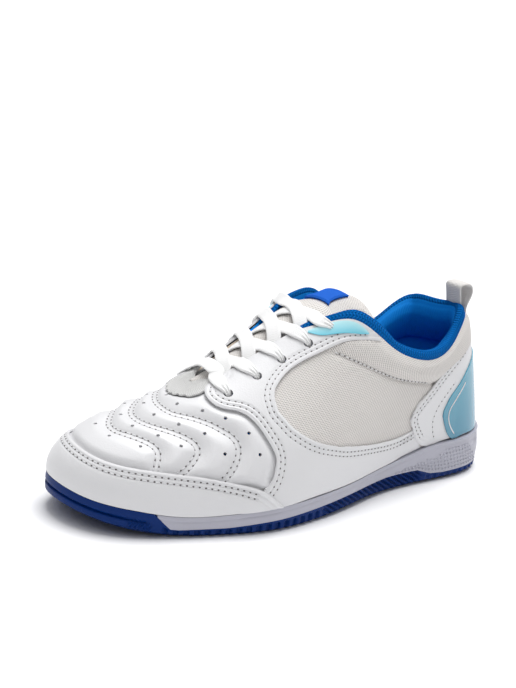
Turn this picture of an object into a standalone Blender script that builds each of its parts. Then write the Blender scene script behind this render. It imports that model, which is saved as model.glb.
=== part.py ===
"""Indoor soccer shoe, left foot, as an assembly of separate closed solids.

The shoe is modelled with the toe towards +X, the outer (lateral) side towards +Y and +Z up.
Round the foot, a place is named by its clock: 0 at the back of the heel, 90 at the outer waist,
180 at the tip of the toe and 270 at the inner waist. Up the upper, a place is named by its
rise: 0 at the sole and 1 at the edge of the collar or throat.
"""
import math

import bmesh
import bpy
import numpy as np

# Driving dimensions, in metres
LENGTH = 0.262
BALL_WIDTH = 0.099
INSTEP_HEIGHT = 0.096
SOLE_HEIGHT = 0.0275
TOE_SPRING = 0.009
ARCH_RISE = 0.0032
TREAD_THICKNESS = 0.0032
RAND_WALL = 0.0024
RIM_WIDTH = 0.0030
FOOTBED_DEPTH = 0.0020
UPPER_WALL = 0.0020
OVERLAY_WALL = 0.0011
PANEL_WALL = 0.0007
LINING_WALL = 0.0062
LINING_RISE = 0.0044
LINING_DEPTH = 0.0250
TONGUE_WALL = 0.0036
TONGUE_CROWN = 0.0042
TONGUE_TUCK = 0.0110
INSOLE_WALL = 0.0034
EYELET_RADIUS = 0.0021
LACE_WIDTH = 0.0074
LACE_WALL = 0.0012
LOOP_WIDTH = 0.0120
LOOP_WALL = 0.0014
LOOP_HEIGHT = 0.0140
PIVOT_RADIUS = 0.0180
HEEL_OVAL_RADIUS = 0.0090
GROOVE_WIDTH = 0.0022
GROOVE_DEPTH = 0.0012
SIDE_RIB = 0.0009
BOTTOM_INSET = 0.0030
HEEL_INSET = 0.0010
HEEL_BULGE = 0.0012
FEATHER_INSET = 0.0016
GAP = 0.0003
OVERLAY_GAP = 0.0005
PANEL_GAP = 0.0005
LINING_GAP = 0.0005
TONGUE_GAP = 0.0014
LACE_GAP = 0.0009

# Layers in the throat, from a sheet's surface to the middle of the lace
LACE_LIFT_START = LACE_WALL / 2 + GAP
LACE_LIFT_MIDDLE = LACE_WALL / 2 + LACE_GAP + GAP
LACE_LIFT_OVER = (
    UPPER_WALL + TONGUE_GAP + OVERLAY_GAP + OVERLAY_WALL + LACE_GAP + LACE_WALL / 2)

# Where the tread begins to rise towards the toe, and the arch, as shares of length
TOE_SPRING_START = 0.77
ARCH_START = 0.28
ARCH_END = 0.55
# Round and oval grooves in the tread: along as share of length, across as share of ball width
PIVOT_PLACE = (0.71, 0.0)
HEEL_OVAL_PLACE = (0.10, -0.03)
HEEL_OVAL_STRETCH = 1.5
# How far the eyelet cutters reach out of the upper and into it
EYELET_REACH_OUT = 0.0040
EYELET_REACH_IN = 0.0050
# Pull loop: its stand-off from the lining, its lean to the back, and its rounded top
LOOP_INWARD = 0.0075
LOOP_LEAN = 0.0015
LOOP_SHOULDER = 0.0045
LOOP_ROUND = 0.0025
LOOP_FLAT = 0.0009
LOOP_TAIL = 0.0015
LOOP_RISES = (0.86, 0.93, 0.99)

# Degrees of clock between stations round the foot
STATION_STEP = 6

# Widest outline of the sole: clock, along as share of length, across as share of ball width
OUTLINE = [
    (0, -0.014, -0.05), (14, 0.030, 0.185), (30, 0.13, 0.285), (46, 0.235, 0.305),
    (62, 0.34, 0.350), (78, 0.45, 0.445), (94, 0.555, 0.517), (108, 0.65, 0.545),
    (124, 0.76, 0.495), (142, 0.87, 0.405), (160, 0.955, 0.265), (180, 1.0, 0.0),
    (197, 0.975, -0.215), (212, 0.90, -0.335), (228, 0.80, -0.415), (246, 0.685, -0.455),
    (262, 0.58, -0.395), (278, 0.48, -0.325), (294, 0.375, -0.295), (310, 0.26, -0.315),
    (328, 0.14, -0.325), (345, 0.035, -0.245)]

# Line where upper and sole meet: clock, height as share of sole height
FEATHER = [
    (0, 1.0), (19, 0.98), (32, 0.81), (46, 0.66), (60, 0.58), (76, 0.516), (92, 0.487),
    (108, 0.451), (122, 0.396), (135, 0.385), (148, 0.48), (165, 0.575), (180, 0.655),
    (195, 0.60), (212, 0.50), (228, 0.436), (246, 0.43), (262, 0.465), (280, 0.516),
    (300, 0.60), (320, 0.73), (340, 0.93)]

# Top of the rubber on the side of the sole: clock, height as share of sole height.
# Between the two steps at the toe the rubber climbs to the upper as a rand.
BAND = [
    (0, 0.17), (34, 0.16), (40, 0.19), (46, 0.31), (60, 0.33), (80, 0.30), (100, 0.25),
    (112, 0.21), (122, 0.165), (138, 0.165), (141, 0.17), (146, 1.0), (214, 1.0),
    (219, 0.17), (246, 0.165), (262, 0.21), (285, 0.31), (305, 0.31), (318, 0.19),
    (330, 0.16), (360, 0.17)]

# Extra stations on both sides of the foot, at the foot and the head of those steps
RAND_STEPS = [141, 143, 217, 219]
# First and last rib of the side of the rubber under the waist
SIDE_RIBS = (48, 84)
# Shank recess in the tread: along as share of length, across as share of ball width
SHANK = [
    (0.235, -0.10), (0.30, 0.14), (0.40, 0.21), (0.50, 0.22), (0.585, 0.13), (0.545, 0.0),
    (0.52, -0.16), (0.44, -0.20), (0.33, -0.22)]
# Flex grooves across the tread, as pairs or runs of the same shares
FLEX_GROOVES = [
    [(0.60, 0.50), (0.655, 0.20)], [(0.86, 0.40), (0.785, 0.14)],
    [(0.62, -0.40), (0.645, -0.16)], [(0.80, -0.41), (0.77, -0.15)],
    [(0.90, 0.34), (0.925, 0.0), (0.875, -0.36)]]

# Edge of collar and throat: clock, along as share of length, across as share of ball width,
# height as share of instep height
TOPLINE = [
    (0, 0.063, 0.0, 0.938), (10, 0.071, 0.076, 0.935), (20, 0.092, 0.131, 0.901),
    (30, 0.124, 0.177, 0.833), (41, 0.168, 0.232, 0.766), (53, 0.225, 0.291, 0.734),
    (65, 0.286, 0.318, 0.755), (76, 0.347, 0.323, 0.823), (86, 0.401, 0.313, 0.927),
    (94, 0.450, 0.283, 0.995), (102, 0.492, 0.217, 0.964), (109, 0.538, 0.157, 0.915),
    (116, 0.584, 0.131, 0.847), (123, 0.630, 0.121, 0.776), (132, 0.676, 0.111, 0.706),
    (144, 0.714, 0.091, 0.649), (162, 0.740, 0.051, 0.619), (180, 0.748, 0.0, 0.610),
    (198, 0.740, -0.051, 0.619), (216, 0.714, -0.091, 0.638), (228, 0.676, -0.111, 0.677),
    (237, 0.630, -0.126, 0.734), (244, 0.584, -0.136, 0.802), (251, 0.538, -0.157, 0.875),
    (258, 0.492, -0.217, 0.943), (266, 0.450, -0.283, 0.969), (274, 0.401, -0.318, 0.911),
    (284, 0.340, -0.338, 0.823), (295, 0.275, -0.338, 0.771), (307, 0.218, -0.323, 0.771),
    (319, 0.168, -0.293, 0.839), (331, 0.118, -0.247, 0.922), (345, 0.080, -0.131, 0.943)]

# Curve of the wall: clock, then reach out and rise off the sole, and reach out and drop
# off the edge, as shares of instep height
WALL_CURVE = [
    (0, -0.010, 0.27, 0.062, -0.167), (25, 0.010, 0.26, 0.062, -0.156),
    (50, 0.031, 0.188, 0.052, -0.146), (75, 0.042, 0.208, 0.083, -0.229),
    (95, 0.042, 0.250, 0.146, -0.208), (112, 0.042, 0.271, 0.177, -0.125),
    (130, 0.031, 0.250, 0.208, -0.094), (150, 0.026, 0.229, 0.292, -0.104),
    (180, 0.021, 0.208, 0.375, -0.135), (210, 0.026, 0.177, 0.292, -0.146),
    (230, 0.031, 0.167, 0.208, -0.156), (248, 0.031, 0.188, 0.177, -0.167),
    (265, 0.031, 0.229, 0.156, -0.208), (285, 0.042, 0.229, 0.083, -0.229),
    (310, 0.042, 0.208, 0.052, -0.146), (335, 0.010, 0.26, 0.062, -0.156)]

# Toe guard: clock, lower rise, upper rise
MUDGUARD_EDGES = [
    (109, 0.004, 0.02), (114, 0.004, 0.115), (120, 0.004, 0.165), (131, 0.004, 0.245),
    (142, 0.004, 0.28), (155, 0.004, 0.295), (168, 0.004, 0.31), (180, 0.004, 0.34),
    (192, 0.004, 0.355), (205, 0.004, 0.33), (218, 0.004, 0.285), (229, 0.004, 0.235),
    (240, 0.004, 0.165), (246, 0.004, 0.115), (251, 0.004, 0.02)]

# Saddle with its eyestay, from the collar round the mesh window to the heel counter:
# clock and rise at the window, clock and rise at the outer edge
SADDLE = [
    (84.5, 0.965, 88.5, 0.985), (93, 0.860, 100, 0.99), (100, 0.810, 112, 0.99),
    (106, 0.765, 124, 0.99), (111, 0.715, 135, 0.99), (113.5, 0.66, 142.5, 0.965),
    (114, 0.63, 142, 0.895), (113.8, 0.59, 137, 0.785), (113, 0.55, 130, 0.67),
    (112, 0.51, 123, 0.585), (110, 0.47, 117, 0.47), (108, 0.43, 114, 0.39),
    (105, 0.39, 112, 0.29), (102, 0.36, 110.5, 0.19), (98, 0.33, 108.5, 0.09),
    (93, 0.31, 106, 0.01), (88, 0.30, 97, 0.01), (77, 0.30, 82, 0.01), (67, 0.28, 69, 0.01),
    (58, 0.26, 56, 0.01), (53.4, 0.26, 46, 0.01)]

# Heel counter, either side of the heel: clock, lower rise, upper rise
COUNTER_EDGES = [
    (-55.5, 0.40, 0.46), (-54, 0.34, 0.515), (-50.5, 0.21, 0.575), (-46.5, 0.07, 0.665),
    (-43, 0.01, 0.775), (-37, 0.01, 0.89), (-28, 0.01, 0.965), (0, 0.01, 0.97),
    (28, 0.01, 0.965), (37, 0.01, 0.89), (43, 0.01, 0.775), (46.5, 0.07, 0.665),
    (50.5, 0.21, 0.575), (54, 0.34, 0.515), (55.5, 0.40, 0.46)]

# Heel panel on the counter, either side of the heel: clock, lower rise, upper rise
PANEL_EDGES = [
    (-37, 0.24, 0.29), (-35, 0.13, 0.37), (-31.5, 0.012, 0.435), (-27, 0.01, 0.505),
    (-22, 0.01, 0.56), (-12, 0.01, 0.61), (0, 0.01, 0.63), (12, 0.01, 0.61),
    (22, 0.01, 0.56), (27, 0.01, 0.505), (31.5, 0.012, 0.435), (35, 0.13, 0.37),
    (37, 0.24, 0.29)]

# Insert beside the top eyelet: clock, lower rise, upper rise
INSERT_EDGES = [
    (87.5, 0.955, 0.967), (91, 0.930, 0.974), (95, 0.917, 0.978), (100, 0.905, 0.978),
    (103, 0.912, 0.974), (105.5, 0.940, 0.955)]

# Eyelets from toe to ankle: clock, rise, and the place along the throat as share of length
EYELETS = [
    (129, 0.76, 0.695), (120, 0.78, 0.642), (113, 0.81, 0.590), (106, 0.865, 0.535),
    (100, 0.945, 0.487)]

# Tongue behind the throat: along as share of length, half width as share of ball width,
# middle and edge height as share of instep height
TONGUE_TOP = [
    (0.440, 0.205, 1.035, 0.975), (0.405, 0.200, 1.070, 1.020), (0.372, 0.180, 1.090, 1.045)]

# Rails along the tongue: place across it, from the medial side to the lateral one
TONGUE_PLACES = (-1, -0.55, 0, 0.55, 1)
# Stretch of the tongue under the eyestays: along as share of length, share of the tuck
TONGUE_TUCKED = [
    (0.738, 0.6), (0.715, 0.8), (0.68, 1.0), (0.64, 1.0), (0.60, 1.0), (0.56, 0.9),
    (0.52, 0.7), (0.485, 0.45)]

# Padded collar across its wall: inward as share of the wall, height as share of its rise
# above the edge or of its depth below it, and 1 where it lies behind the upper
LINING_PROFILE = [
    (0.0, 0.0, 0), (0.03, 0.58, 0), (0.32, 1.0, 0), (0.70, 0.84, 0), (0.98, 0.15, 0),
    (1.0, -0.28, 1), (0.82, -0.68, 1), (0.32, -1.0, 1), (0.0, -0.92, 1), (0.0, -0.46, 1),
    (0.0, 0.0, 1)]
# Fullness of the padded collar: clock either side of the heel, share of the wall
LINING_FULLNESS = [(0, 0.80), (14, 0.95), (30, 1.0), (60, 1.0), (75, 0.80), (90, 0.50)]


def spline(rows, period=None):
    """Return a smooth curve through rows of (place, value, value ...), closed if it has a period."""
    table = np.array(rows, float)
    place, value = table[:, 0], table[:, 1:]
    count = len(place)
    following = np.append(place[1:], place[0] + period) if period else np.append(place[1:], place[-1] + 1)
    step = following - place
    matrix = np.eye(count)
    right = np.zeros(value.shape)
    for i in range(count):
        if not period and i in (0, count - 1):
            continue
        before, after = (i - 1) % count, (i + 1) % count
        matrix[i, i] = 2 * (step[before] + step[i])
        matrix[i, before] = step[before]
        matrix[i, after] = step[i]
        rise = (value[after] - value[i]) / step[i]
        fall = (value[i] - value[before]) / step[before]
        right[i] = 6 * (rise - fall)
    bend = np.linalg.solve(matrix, right)

    def at(where):
        where = np.atleast_1d(np.asarray(where, float))
        if period:
            where = np.mod(where, period)
        last = count - 1 if period else count - 2
        low = np.clip(np.searchsorted(place, where, side="right") - 1, 0, last)
        high = (low + 1) % count
        size = step[low][:, None]
        past = (where - place[low])[:, None]
        left = size - past
        curve = (bend[low] * left ** 3 + bend[high] * past ** 3) / (6 * size)
        curve += (value[low] / size - bend[low] * size / 6) * left
        return curve + (value[high] / size - bend[high] * size / 6) * past

    return at


outline_curve = spline(OUTLINE, 360)
feather_curve = spline(FEATHER, 360)
topline_curve = spline(TOPLINE, 360)
wall_curve = spline(WALL_CURVE, 360)


def outline(clock, inset):
    """Points of the sole's outline, moved inwards by inset, and the outward directions there."""
    clock = np.asarray(clock, float)
    size = np.array([LENGTH, BALL_WIDTH])
    step = 0.05
    tangent = (outline_curve(clock + step) - outline_curve(clock - step)) * size
    outward = np.column_stack([-tangent[:, 1], tangent[:, 0]])
    outward /= np.linalg.norm(outward, axis=1)[:, None]
    inset = np.broadcast_to(np.asarray(inset, float), clock.shape)
    return outline_curve(clock) * size - outward * inset[:, None], outward


def feather_height(clock):
    return feather_curve(clock)[:, 0] * SOLE_HEIGHT


def band_height(clock):
    """Top of the rubber side, never above the line of the upper."""
    table = np.array(BAND)
    height = np.interp(np.mod(clock, 360), table[:, 0], table[:, 1]) * SOLE_HEIGHT
    return np.minimum(height, feather_height(clock))


def ground_height(points):
    """Height of the tread: flat under heel and ball, raised at the toe and in the arch."""
    along = points[:, 0] / LENGTH
    toe = np.clip((along - TOE_SPRING_START) / (1 - TOE_SPRING_START), 0, 1) ** 2 * TOE_SPRING
    middle = np.sin(np.pi * np.clip((along - ARCH_START) / (ARCH_END - ARCH_START), 0, 1)) ** 2
    inner = np.clip(0.5 - points[:, 1] / BALL_WIDTH, 0.25, 1)
    return toe + middle * inner * ARCH_RISE


def surface(clock, rise):
    """Outer surface of the upper."""
    clock = np.asarray(clock, float)
    rise = np.broadcast_to(np.asarray(rise, float), clock.shape)
    foot, outward = outline(clock, FEATHER_INSET)
    base = np.column_stack([foot, feather_height(clock) + GAP])
    edge = topline_curve(clock) * np.array([LENGTH, BALL_WIDTH, INSTEP_HEIGHT])
    curve = wall_curve(clock) * INSTEP_HEIGHT
    towards = base[:, :2] - edge[:, :2]
    towards /= np.maximum(np.linalg.norm(towards, axis=1), 1e-6)[:, None]
    lower = base + np.column_stack([outward * curve[:, [0]], curve[:, 1]])
    upper = edge + np.column_stack([towards * curve[:, [2]], curve[:, 3]])
    t = rise[:, None]
    return (base * (1 - t) ** 3 + 3 * lower * t * (1 - t) ** 2
            + 3 * upper * t ** 2 * (1 - t) + edge * t ** 3)


def skin(clock, rise, lift):
    """The upper's surface moved outwards by lift."""
    clock = np.asarray(clock, float)
    rise = np.broadcast_to(np.asarray(rise, float), clock.shape)
    lift = np.broadcast_to(np.asarray(lift, float), clock.shape)
    around = surface(clock + 0.5, rise) - surface(clock - 0.5, rise)
    upwards = surface(clock, rise + 0.01) - surface(clock, rise - 0.01)
    normal = np.cross(upwards, around)
    normal /= np.linalg.norm(normal, axis=1)[:, None]
    return surface(clock, rise) + normal * lift[:, None]


def rib_length(clock):
    """Length of the wall from sole to edge."""
    points = np.array([surface(clock, share) for share in np.linspace(0, 1, 13)])
    return np.linalg.norm(np.diff(points, axis=0), axis=2).sum(axis=0)


def plain_material(name, colour, roughness):
    material = bpy.data.materials.new(name)
    material.use_nodes = True
    shader = material.node_tree.nodes["Principled BSDF"]
    shader.inputs["Base Color"].default_value = (*colour, 1)
    shader.inputs["Roughness"].default_value = roughness
    shader.inputs["Metallic"].default_value = 0
    material.diffuse_color = (*colour, 1)
    return material


def add_solid(name, vertices, faces, material, smooth=True):
    """Make an object from points and faces, with all faces pointing outwards."""
    mesh = bpy.data.meshes.new(name)
    mesh.from_pydata([tuple(point) for point in vertices], [], faces)
    work = bmesh.new()
    work.from_mesh(mesh)
    bmesh.ops.recalc_face_normals(work, faces=work.faces)
    if work.calc_volume(signed=True) < 0:
        bmesh.ops.reverse_faces(work, faces=work.faces)
    bmesh.ops.triangulate(work, faces=work.faces)
    work.to_mesh(mesh)
    work.free()
    if smooth:
        mesh.shade_smooth()
        mesh.set_sharp_from_angle(angle=math.radians(40))
    mesh.materials.append(material)
    solid = bpy.data.objects.new(name, mesh)
    bpy.context.collection.objects.link(solid)
    return solid


def slab(name, outer, inner, material, closed=False):
    """Join two equal grids of points, and close the walls between their borders."""
    rows, columns = outer.shape[:2]
    points = np.concatenate([outer.reshape(-1, 3), inner.reshape(-1, 3)])
    offset = rows * columns

    def index(row, column):
        return row % rows * columns + column

    faces = []
    spans = rows if closed else rows - 1
    for row in range(spans):
        for column in range(columns - 1):
            quad = (index(row, column), index(row + 1, column),
                    index(row + 1, column + 1), index(row, column + 1))
            faces.append(quad)
            faces.append(tuple(offset + corner for corner in reversed(quad)))
        for column in (0, columns - 1):
            a, b = index(row, column), index(row + 1, column)
            faces.append((a, b, offset + b, offset + a) if column else (b, a, offset + a, offset + b))
    if not closed:
        for row in (0, rows - 1):
            for column in range(columns - 1):
                a, b = index(row, column), index(row, column + 1)
                faces.append((a, b, offset + b, offset + a))
    return add_solid(name, points, faces, material)


def tube(name, rings, material, closed=False):
    """Join closed rings of points along a path, with flat ends unless the path is closed."""
    count, size = len(rings), len(rings[0])
    faces = []
    for i in range(count if closed else count - 1):
        here, there = i * size, (i + 1) % count * size
        for j in range(size):
            k = (j + 1) % size
            faces.append((here + j, here + k, there + k, there + j))
    if not closed:
        faces.append(tuple(range(size)))
        faces.append(tuple(range(len(rings) * size - size, len(rings) * size)))
    return add_solid(name, np.concatenate(rings), faces, material)


def dish(name, rings, material):
    """Stack closed rings round the foot, and close the first and the last one across."""
    size = len(rings[0])
    faces = []
    for i in range(len(rings) - 1):
        for j in range(size):
            k = (j + 1) % size
            faces.append((i * size + j, i * size + k, (i + 1) * size + k, (i + 1) * size + j))
    half = size // 2
    for start in (0, (len(rings) - 1) * size):
        for j in range(half):
            left, right = j, j + 1
            across_right, across_left = (size - j - 1) % size, (size - j) % size
            loop = [start + left, start + right, start + across_right, start + across_left]
            kept = list(dict.fromkeys(loop))
            if len(kept) > 2:
                faces.append(tuple(kept))
    return add_solid(name, np.concatenate(rings), faces, material)


def ring(clock, inset, height):
    points = outline(clock, inset)[0]
    return np.column_stack([points, np.broadcast_to(height, len(points))])


def cut(target, cutter, operation="DIFFERENCE"):
    cutter.hide_render = True
    cutter.display_type = "WIRE"
    modifier = target.modifiers.new(cutter.name, "BOOLEAN")
    modifier.operation = operation
    modifier.solver = "EXACT"
    modifier.object = cutter


def sole_stations():
    """Stations round the sole: even ones, and closer ones where the rand steps down."""
    even = np.arange(0, 360, STATION_STEP)
    return np.sort(np.concatenate([even, RAND_STEPS]))


def make_outsole(material):
    """Rubber sole with its side ribs, as a pan that holds the midsole."""
    first, last = SIDE_RIBS
    hollows = np.arange(first + STATION_STEP / 2, last, STATION_STEP)
    clock = np.sort(np.concatenate([sole_stations(), hollows, 360 - hollows]))
    heel = np.maximum(np.cos(np.radians(clock)), 0) ** 4
    ribs = np.where(np.isin(clock, np.concatenate([hollows, 360 - hollows])), SIDE_RIB, 0)
    bottom_inset = BOTTOM_INSET + HEEL_INSET * heel
    bottom = outline(clock, bottom_inset)[0]
    ground = ground_height(bottom)
    band = band_height(clock)
    side = ground + np.minimum(TREAD_THICKNESS, band - ground) * 0.6
    pan = outline(clock, RAND_WALL + GAP)[0]
    floor = ground_height(pan) + TREAD_THICKNESS
    rings = [
        ring(clock, bottom_inset, ground),
        ring(clock, GAP + ribs, side),
        ring(clock, GAP + ribs, band),
        ring(clock, RAND_WALL, band),
        ring(clock, RAND_WALL + GAP, np.minimum(floor, band - GAP))]
    return dish("outsole", rings, material)


def groove_ring(name, place, radius, stretch, material):
    """Cutter for a round or oval groove in the tread."""
    along, across = place
    rings = []
    for angle in np.linspace(0, 2 * math.pi, 16, endpoint=False):
        loop = []
        for side, height in ((-1, -1), (1, -1), (1, 1), (-1, 1)):
            reach = radius + side * GROOVE_WIDTH / 2
            x, y = reach * stretch * math.cos(angle), reach * math.sin(angle)
            loop.append((along * LENGTH + x, across * BALL_WIDTH + y, height * GROOVE_DEPTH))
        rings.append(np.array(loop))
    return tube(name, rings, material, closed=True)


def groove_run(name, places, material):
    """Cutter for a groove that follows places on the tread."""
    points = np.array(places) * np.array([LENGTH, BALL_WIDTH])
    rings = []
    for i, point in enumerate(points):
        before, after = points[max(i - 1, 0)], points[min(i + 1, len(points) - 1)]
        tangent = (after - before) / np.linalg.norm(after - before)
        sideways = np.array([-tangent[1], tangent[0]]) * GROOVE_WIDTH / 2
        base = ground_height(point[None])[0]
        low, high = base - 2 * GROOVE_DEPTH, base + GROOVE_DEPTH
        left, right = point - sideways, point + sideways
        rings.append(np.array([(*left, low), (*right, low), (*right, high), (*left, high)]))
    return tube(name, rings, material)


def shank_cutter(material):
    """Cutter for the smooth recess under the waist."""
    points = np.array(SHANK) * np.array([LENGTH, BALL_WIDTH])
    high = ground_height(points) + GROOVE_DEPTH
    low = np.full(len(points), -2 * GROOVE_DEPTH)
    return tube("shank_cutter", [np.column_stack([points, low]), np.column_stack([points, high])],
                material)


def make_midsole(material):
    """Foam between rubber and upper: its side, its rim and the recessed bed for the insole."""
    clock = sole_stations()
    inner = RAND_WALL + 2 * GAP
    floor = ground_height(outline(clock, inner)[0]) + TREAD_THICKNESS + GAP
    feather = feather_height(clock)
    band = band_height(clock)
    highest = np.maximum(band_height(clock - 2), band_height(clock + 2))
    rand = highest > feather - FOOTBED_DEPTH
    shelf = np.minimum(band + GAP, feather - FOOTBED_DEPTH - GAP)
    heel = np.maximum(np.cos(np.radians(clock)), 0) ** 4
    rings = [
        ring(clock, inner + GAP, np.minimum(floor, shelf - GAP)),
        ring(clock, inner + GAP / 2, shelf),
        ring(clock, np.where(rand, inner, GAP), shelf),
        ring(clock, np.where(rand, inner, -HEEL_BULGE * heel), (shelf + feather) / 2),
        ring(clock, np.where(rand, inner + GAP, 2 * GAP), feather),
        ring(clock, FEATHER_INSET + UPPER_WALL + RIM_WIDTH / 2, feather),
        ring(clock, FEATHER_INSET + UPPER_WALL + RIM_WIDTH / 2 + GAP, feather - FOOTBED_DEPTH)]
    return dish("midsole", rings, material)


def make_insole(material):
    clock = np.arange(0, 360, 2 * STATION_STEP)
    bed = feather_height(clock) - FOOTBED_DEPTH + GAP
    edge = FEATHER_INSET + UPPER_WALL + RIM_WIDTH / 2 + 3 * GAP
    rings = [
        ring(clock, edge, bed),
        ring(clock, edge, bed + INSOLE_WALL * 0.7),
        ring(clock, edge + INSOLE_WALL * 0.3, bed + INSOLE_WALL)]
    return dish("insole", rings, material)


def eyelet_cutters(side, material):
    """Round cutters through the upper and the eyestay at each eyelet of one side."""
    cutters = []
    for number, (clock, rise, _) in enumerate(EYELETS, 1):
        place = clock if side == "lateral" else 360 - clock
        outer = skin([place], rise, EYELET_REACH_OUT)[0]
        inner = skin([place], rise, -EYELET_REACH_IN)[0]
        axis = (outer - inner) / np.linalg.norm(outer - inner)
        first = np.cross(axis, (1.0, 0.0, 0.0))
        first /= np.linalg.norm(first)
        second = np.cross(axis, first)
        angles = np.linspace(0, 2 * math.pi, 6, endpoint=False)
        circle = np.array([first * math.cos(a) + second * math.sin(a) for a in angles])
        rings = [inner + circle * EYELET_RADIUS, outer + circle * EYELET_RADIUS]
        cutters.append(tube(f"eyelet_cutter_{side}_{number}", rings, material))
    return cutters


def make_upper(material, cutters):
    clock = np.arange(0, 360, STATION_STEP)
    rises = np.linspace(0, 1, 9)
    outer = np.stack([surface(clock, rise) for rise in rises], axis=1)
    inner = np.stack([skin(clock, rise, -UPPER_WALL) for rise in rises], axis=1)
    base = outline(clock, FEATHER_INSET + UPPER_WALL)[0]
    inner[:, 0] = np.column_stack([base, feather_height(clock) + GAP])
    upper = slab("upper", outer, inner, material, closed=True)
    for cutter in cutters:
        cut(upper, cutter)
    return upper


def overlay(name, clock, rise, low, high, material):
    """Layer on the upper over a grid of clock and rise, from lift low to lift high."""
    shape = clock.shape
    outer = skin(clock.ravel(), rise.ravel(), high).reshape(*shape, 3)
    inner = skin(clock.ravel(), rise.ravel(), low).reshape(*shape, 3)
    return slab(name, outer, inner, material)


def make_layer(name, edges, columns, rows, low, wall, material, mirrored=False):
    """Layer on the upper between a lower and an upper rise at each clock."""
    clock = np.linspace(edges[0][0], edges[-1][0], columns)
    rises = np.maximum(spline(edges)(clock), 0.004)
    share = np.linspace(0, 1, rows)[None, :]
    rise = rises[:, [0]] + (rises[:, [1]] - rises[:, [0]]) * share
    grid = np.repeat(clock[:, None], rows, axis=1)
    if mirrored:
        grid = 360 - grid
    return overlay(name, grid, rise, low, low + wall, material)


def make_saddle(side, material, cutters):
    table = [(row, *values) for row, values in enumerate(SADDLE)]
    path = spline(table)
    rows = np.linspace(0, len(SADDLE) - 1, 38)
    ends = path(rows)
    share = np.linspace(0, 1, 5)[None, :]
    clock = ends[:, [0]] + (ends[:, [2]] - ends[:, [0]]) * share
    rise = ends[:, [1]] + (ends[:, [3]] - ends[:, [1]]) * share
    if side == "medial":
        clock = 360 - clock
    saddle = overlay(f"saddle_{side}", clock, rise, OVERLAY_GAP, OVERLAY_GAP + OVERLAY_WALL, material)
    for cutter in cutters:
        cut(saddle, cutter)
    return saddle


def make_collar(material):
    """Padded collar inside the topline, from one eyestay round the heel to the other."""
    last = LINING_FULLNESS[-1][0]
    clock = np.arange(-last, last + 1, STATION_STEP)
    full = spline(LINING_FULLNESS)(np.abs(clock))[:, 0] * LINING_WALL
    length = rib_length(clock)
    rings = []
    up = surface(clock, 1.0) - surface(clock, 0.97)
    up /= np.linalg.norm(up, axis=1)[:, None]
    for inward, height, behind in LINING_PROFILE:
        back = behind * (UPPER_WALL + LINING_GAP)
        lift = -back - inward * full
        points = skin(clock, 1 + min(height, 0) * LINING_DEPTH / length, lift)
        above = max(height, 0) * LINING_RISE + (GAP if height >= 0 else 0)
        rings.append(points + up * above)
    stacked = np.stack(rings, axis=1)
    return tube("collar_lining", list(stacked), material)


def throat_clock(along, side):
    """Clock at which the throat's edge lies at a distance along the shoe."""
    clock = np.linspace(96, 176, 161) if side == "lateral" else np.linspace(264, 184, 161)
    place = topline_curve(clock)[:, 0]
    return np.interp(along, place, clock)


def tongue_rows():
    """Five points across the tongue at each place along it, from the toe to the top."""
    rows = []
    under = -(UPPER_WALL + TONGUE_GAP)
    for along, tuck in TONGUE_TUCKED:
        points = []
        for side, places in (("medial", (0, 1)), ("lateral", (3, 4))):
            clock = throat_clock(along, side)
            length = rib_length(np.array([clock]))[0]
            edge = skin([clock], 1.0, under)[0]
            tucked = skin([clock], 1 - tuck * TONGUE_TUCK / length, under)[0]
            points.append((places, edge, tucked))
        row = [None] * 5
        row[0], row[1] = points[0][2], points[0][1]
        row[3], row[4] = points[1][1], points[1][2]
        row[2] = (row[1] + row[3]) / 2 + np.array([0, 0, TONGUE_CROWN])
        rows.append((along, row))
    for along, half, middle, edge in TONGUE_TOP:
        x, y = along * LENGTH, half * BALL_WIDTH
        top, low = middle * INSTEP_HEIGHT, edge * INSTEP_HEIGHT
        shoulder = top - (top - low) * 0.28
        rows.append((along, [np.array(p) for p in (
            (x, -y, low), (x, -0.55 * y, shoulder), (x, 0, top), (x, 0.55 * y, shoulder), (x, y, low))]))
    return rows


def tongue_sheet():
    """Return a function for the tongue's upper surface: along, across from -1 to 1."""
    rows = sorted(tongue_rows(), key=lambda row: row[0])
    rails = []
    for k in range(5):
        rails.append(spline([(along, *row[k]) for along, row in rows]))

    def at(along, across):
        points = [rail(along)[0] for rail in rails]
        return spline([(place, *point) for place, point in zip(TONGUE_PLACES, points)])(across)

    return at


def sheet_normal(sheet, along, across):
    forward = sheet(along + 0.004, across) - sheet(along - 0.004, across)
    sideways = sheet(along, np.asarray(across) + 0.02) - sheet(along, np.asarray(across) - 0.02)
    normal = np.cross(forward, sideways)
    normal /= np.linalg.norm(normal, axis=1)[:, None]
    return normal * np.sign(normal[:, [2]])


def make_tongue(sheet, material):
    stations = np.linspace(0.738, TONGUE_TOP[-1][0], 14)
    across = np.linspace(-1, 1, 9)
    outer = np.array([sheet(along, across) for along in stations])
    inner = np.array([sheet(along, across) - sheet_normal(sheet, along, across) * TONGUE_WALL
                      for along in stations])
    return slab("tongue", outer, inner, material)


def make_label(sheet, material):
    stations = np.linspace(0.425, 0.380, 3)
    across = np.linspace(-0.5, 0.5, 5)
    lifts = (2 * GAP, 2 * GAP + PANEL_WALL)
    layers = []
    for lift in lifts:
        layers.append(np.array([sheet(along, across) + sheet_normal(sheet, along, across) * lift
                                for along in stations]))
    return slab("tongue_label", layers[1], layers[0], material)


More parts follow.
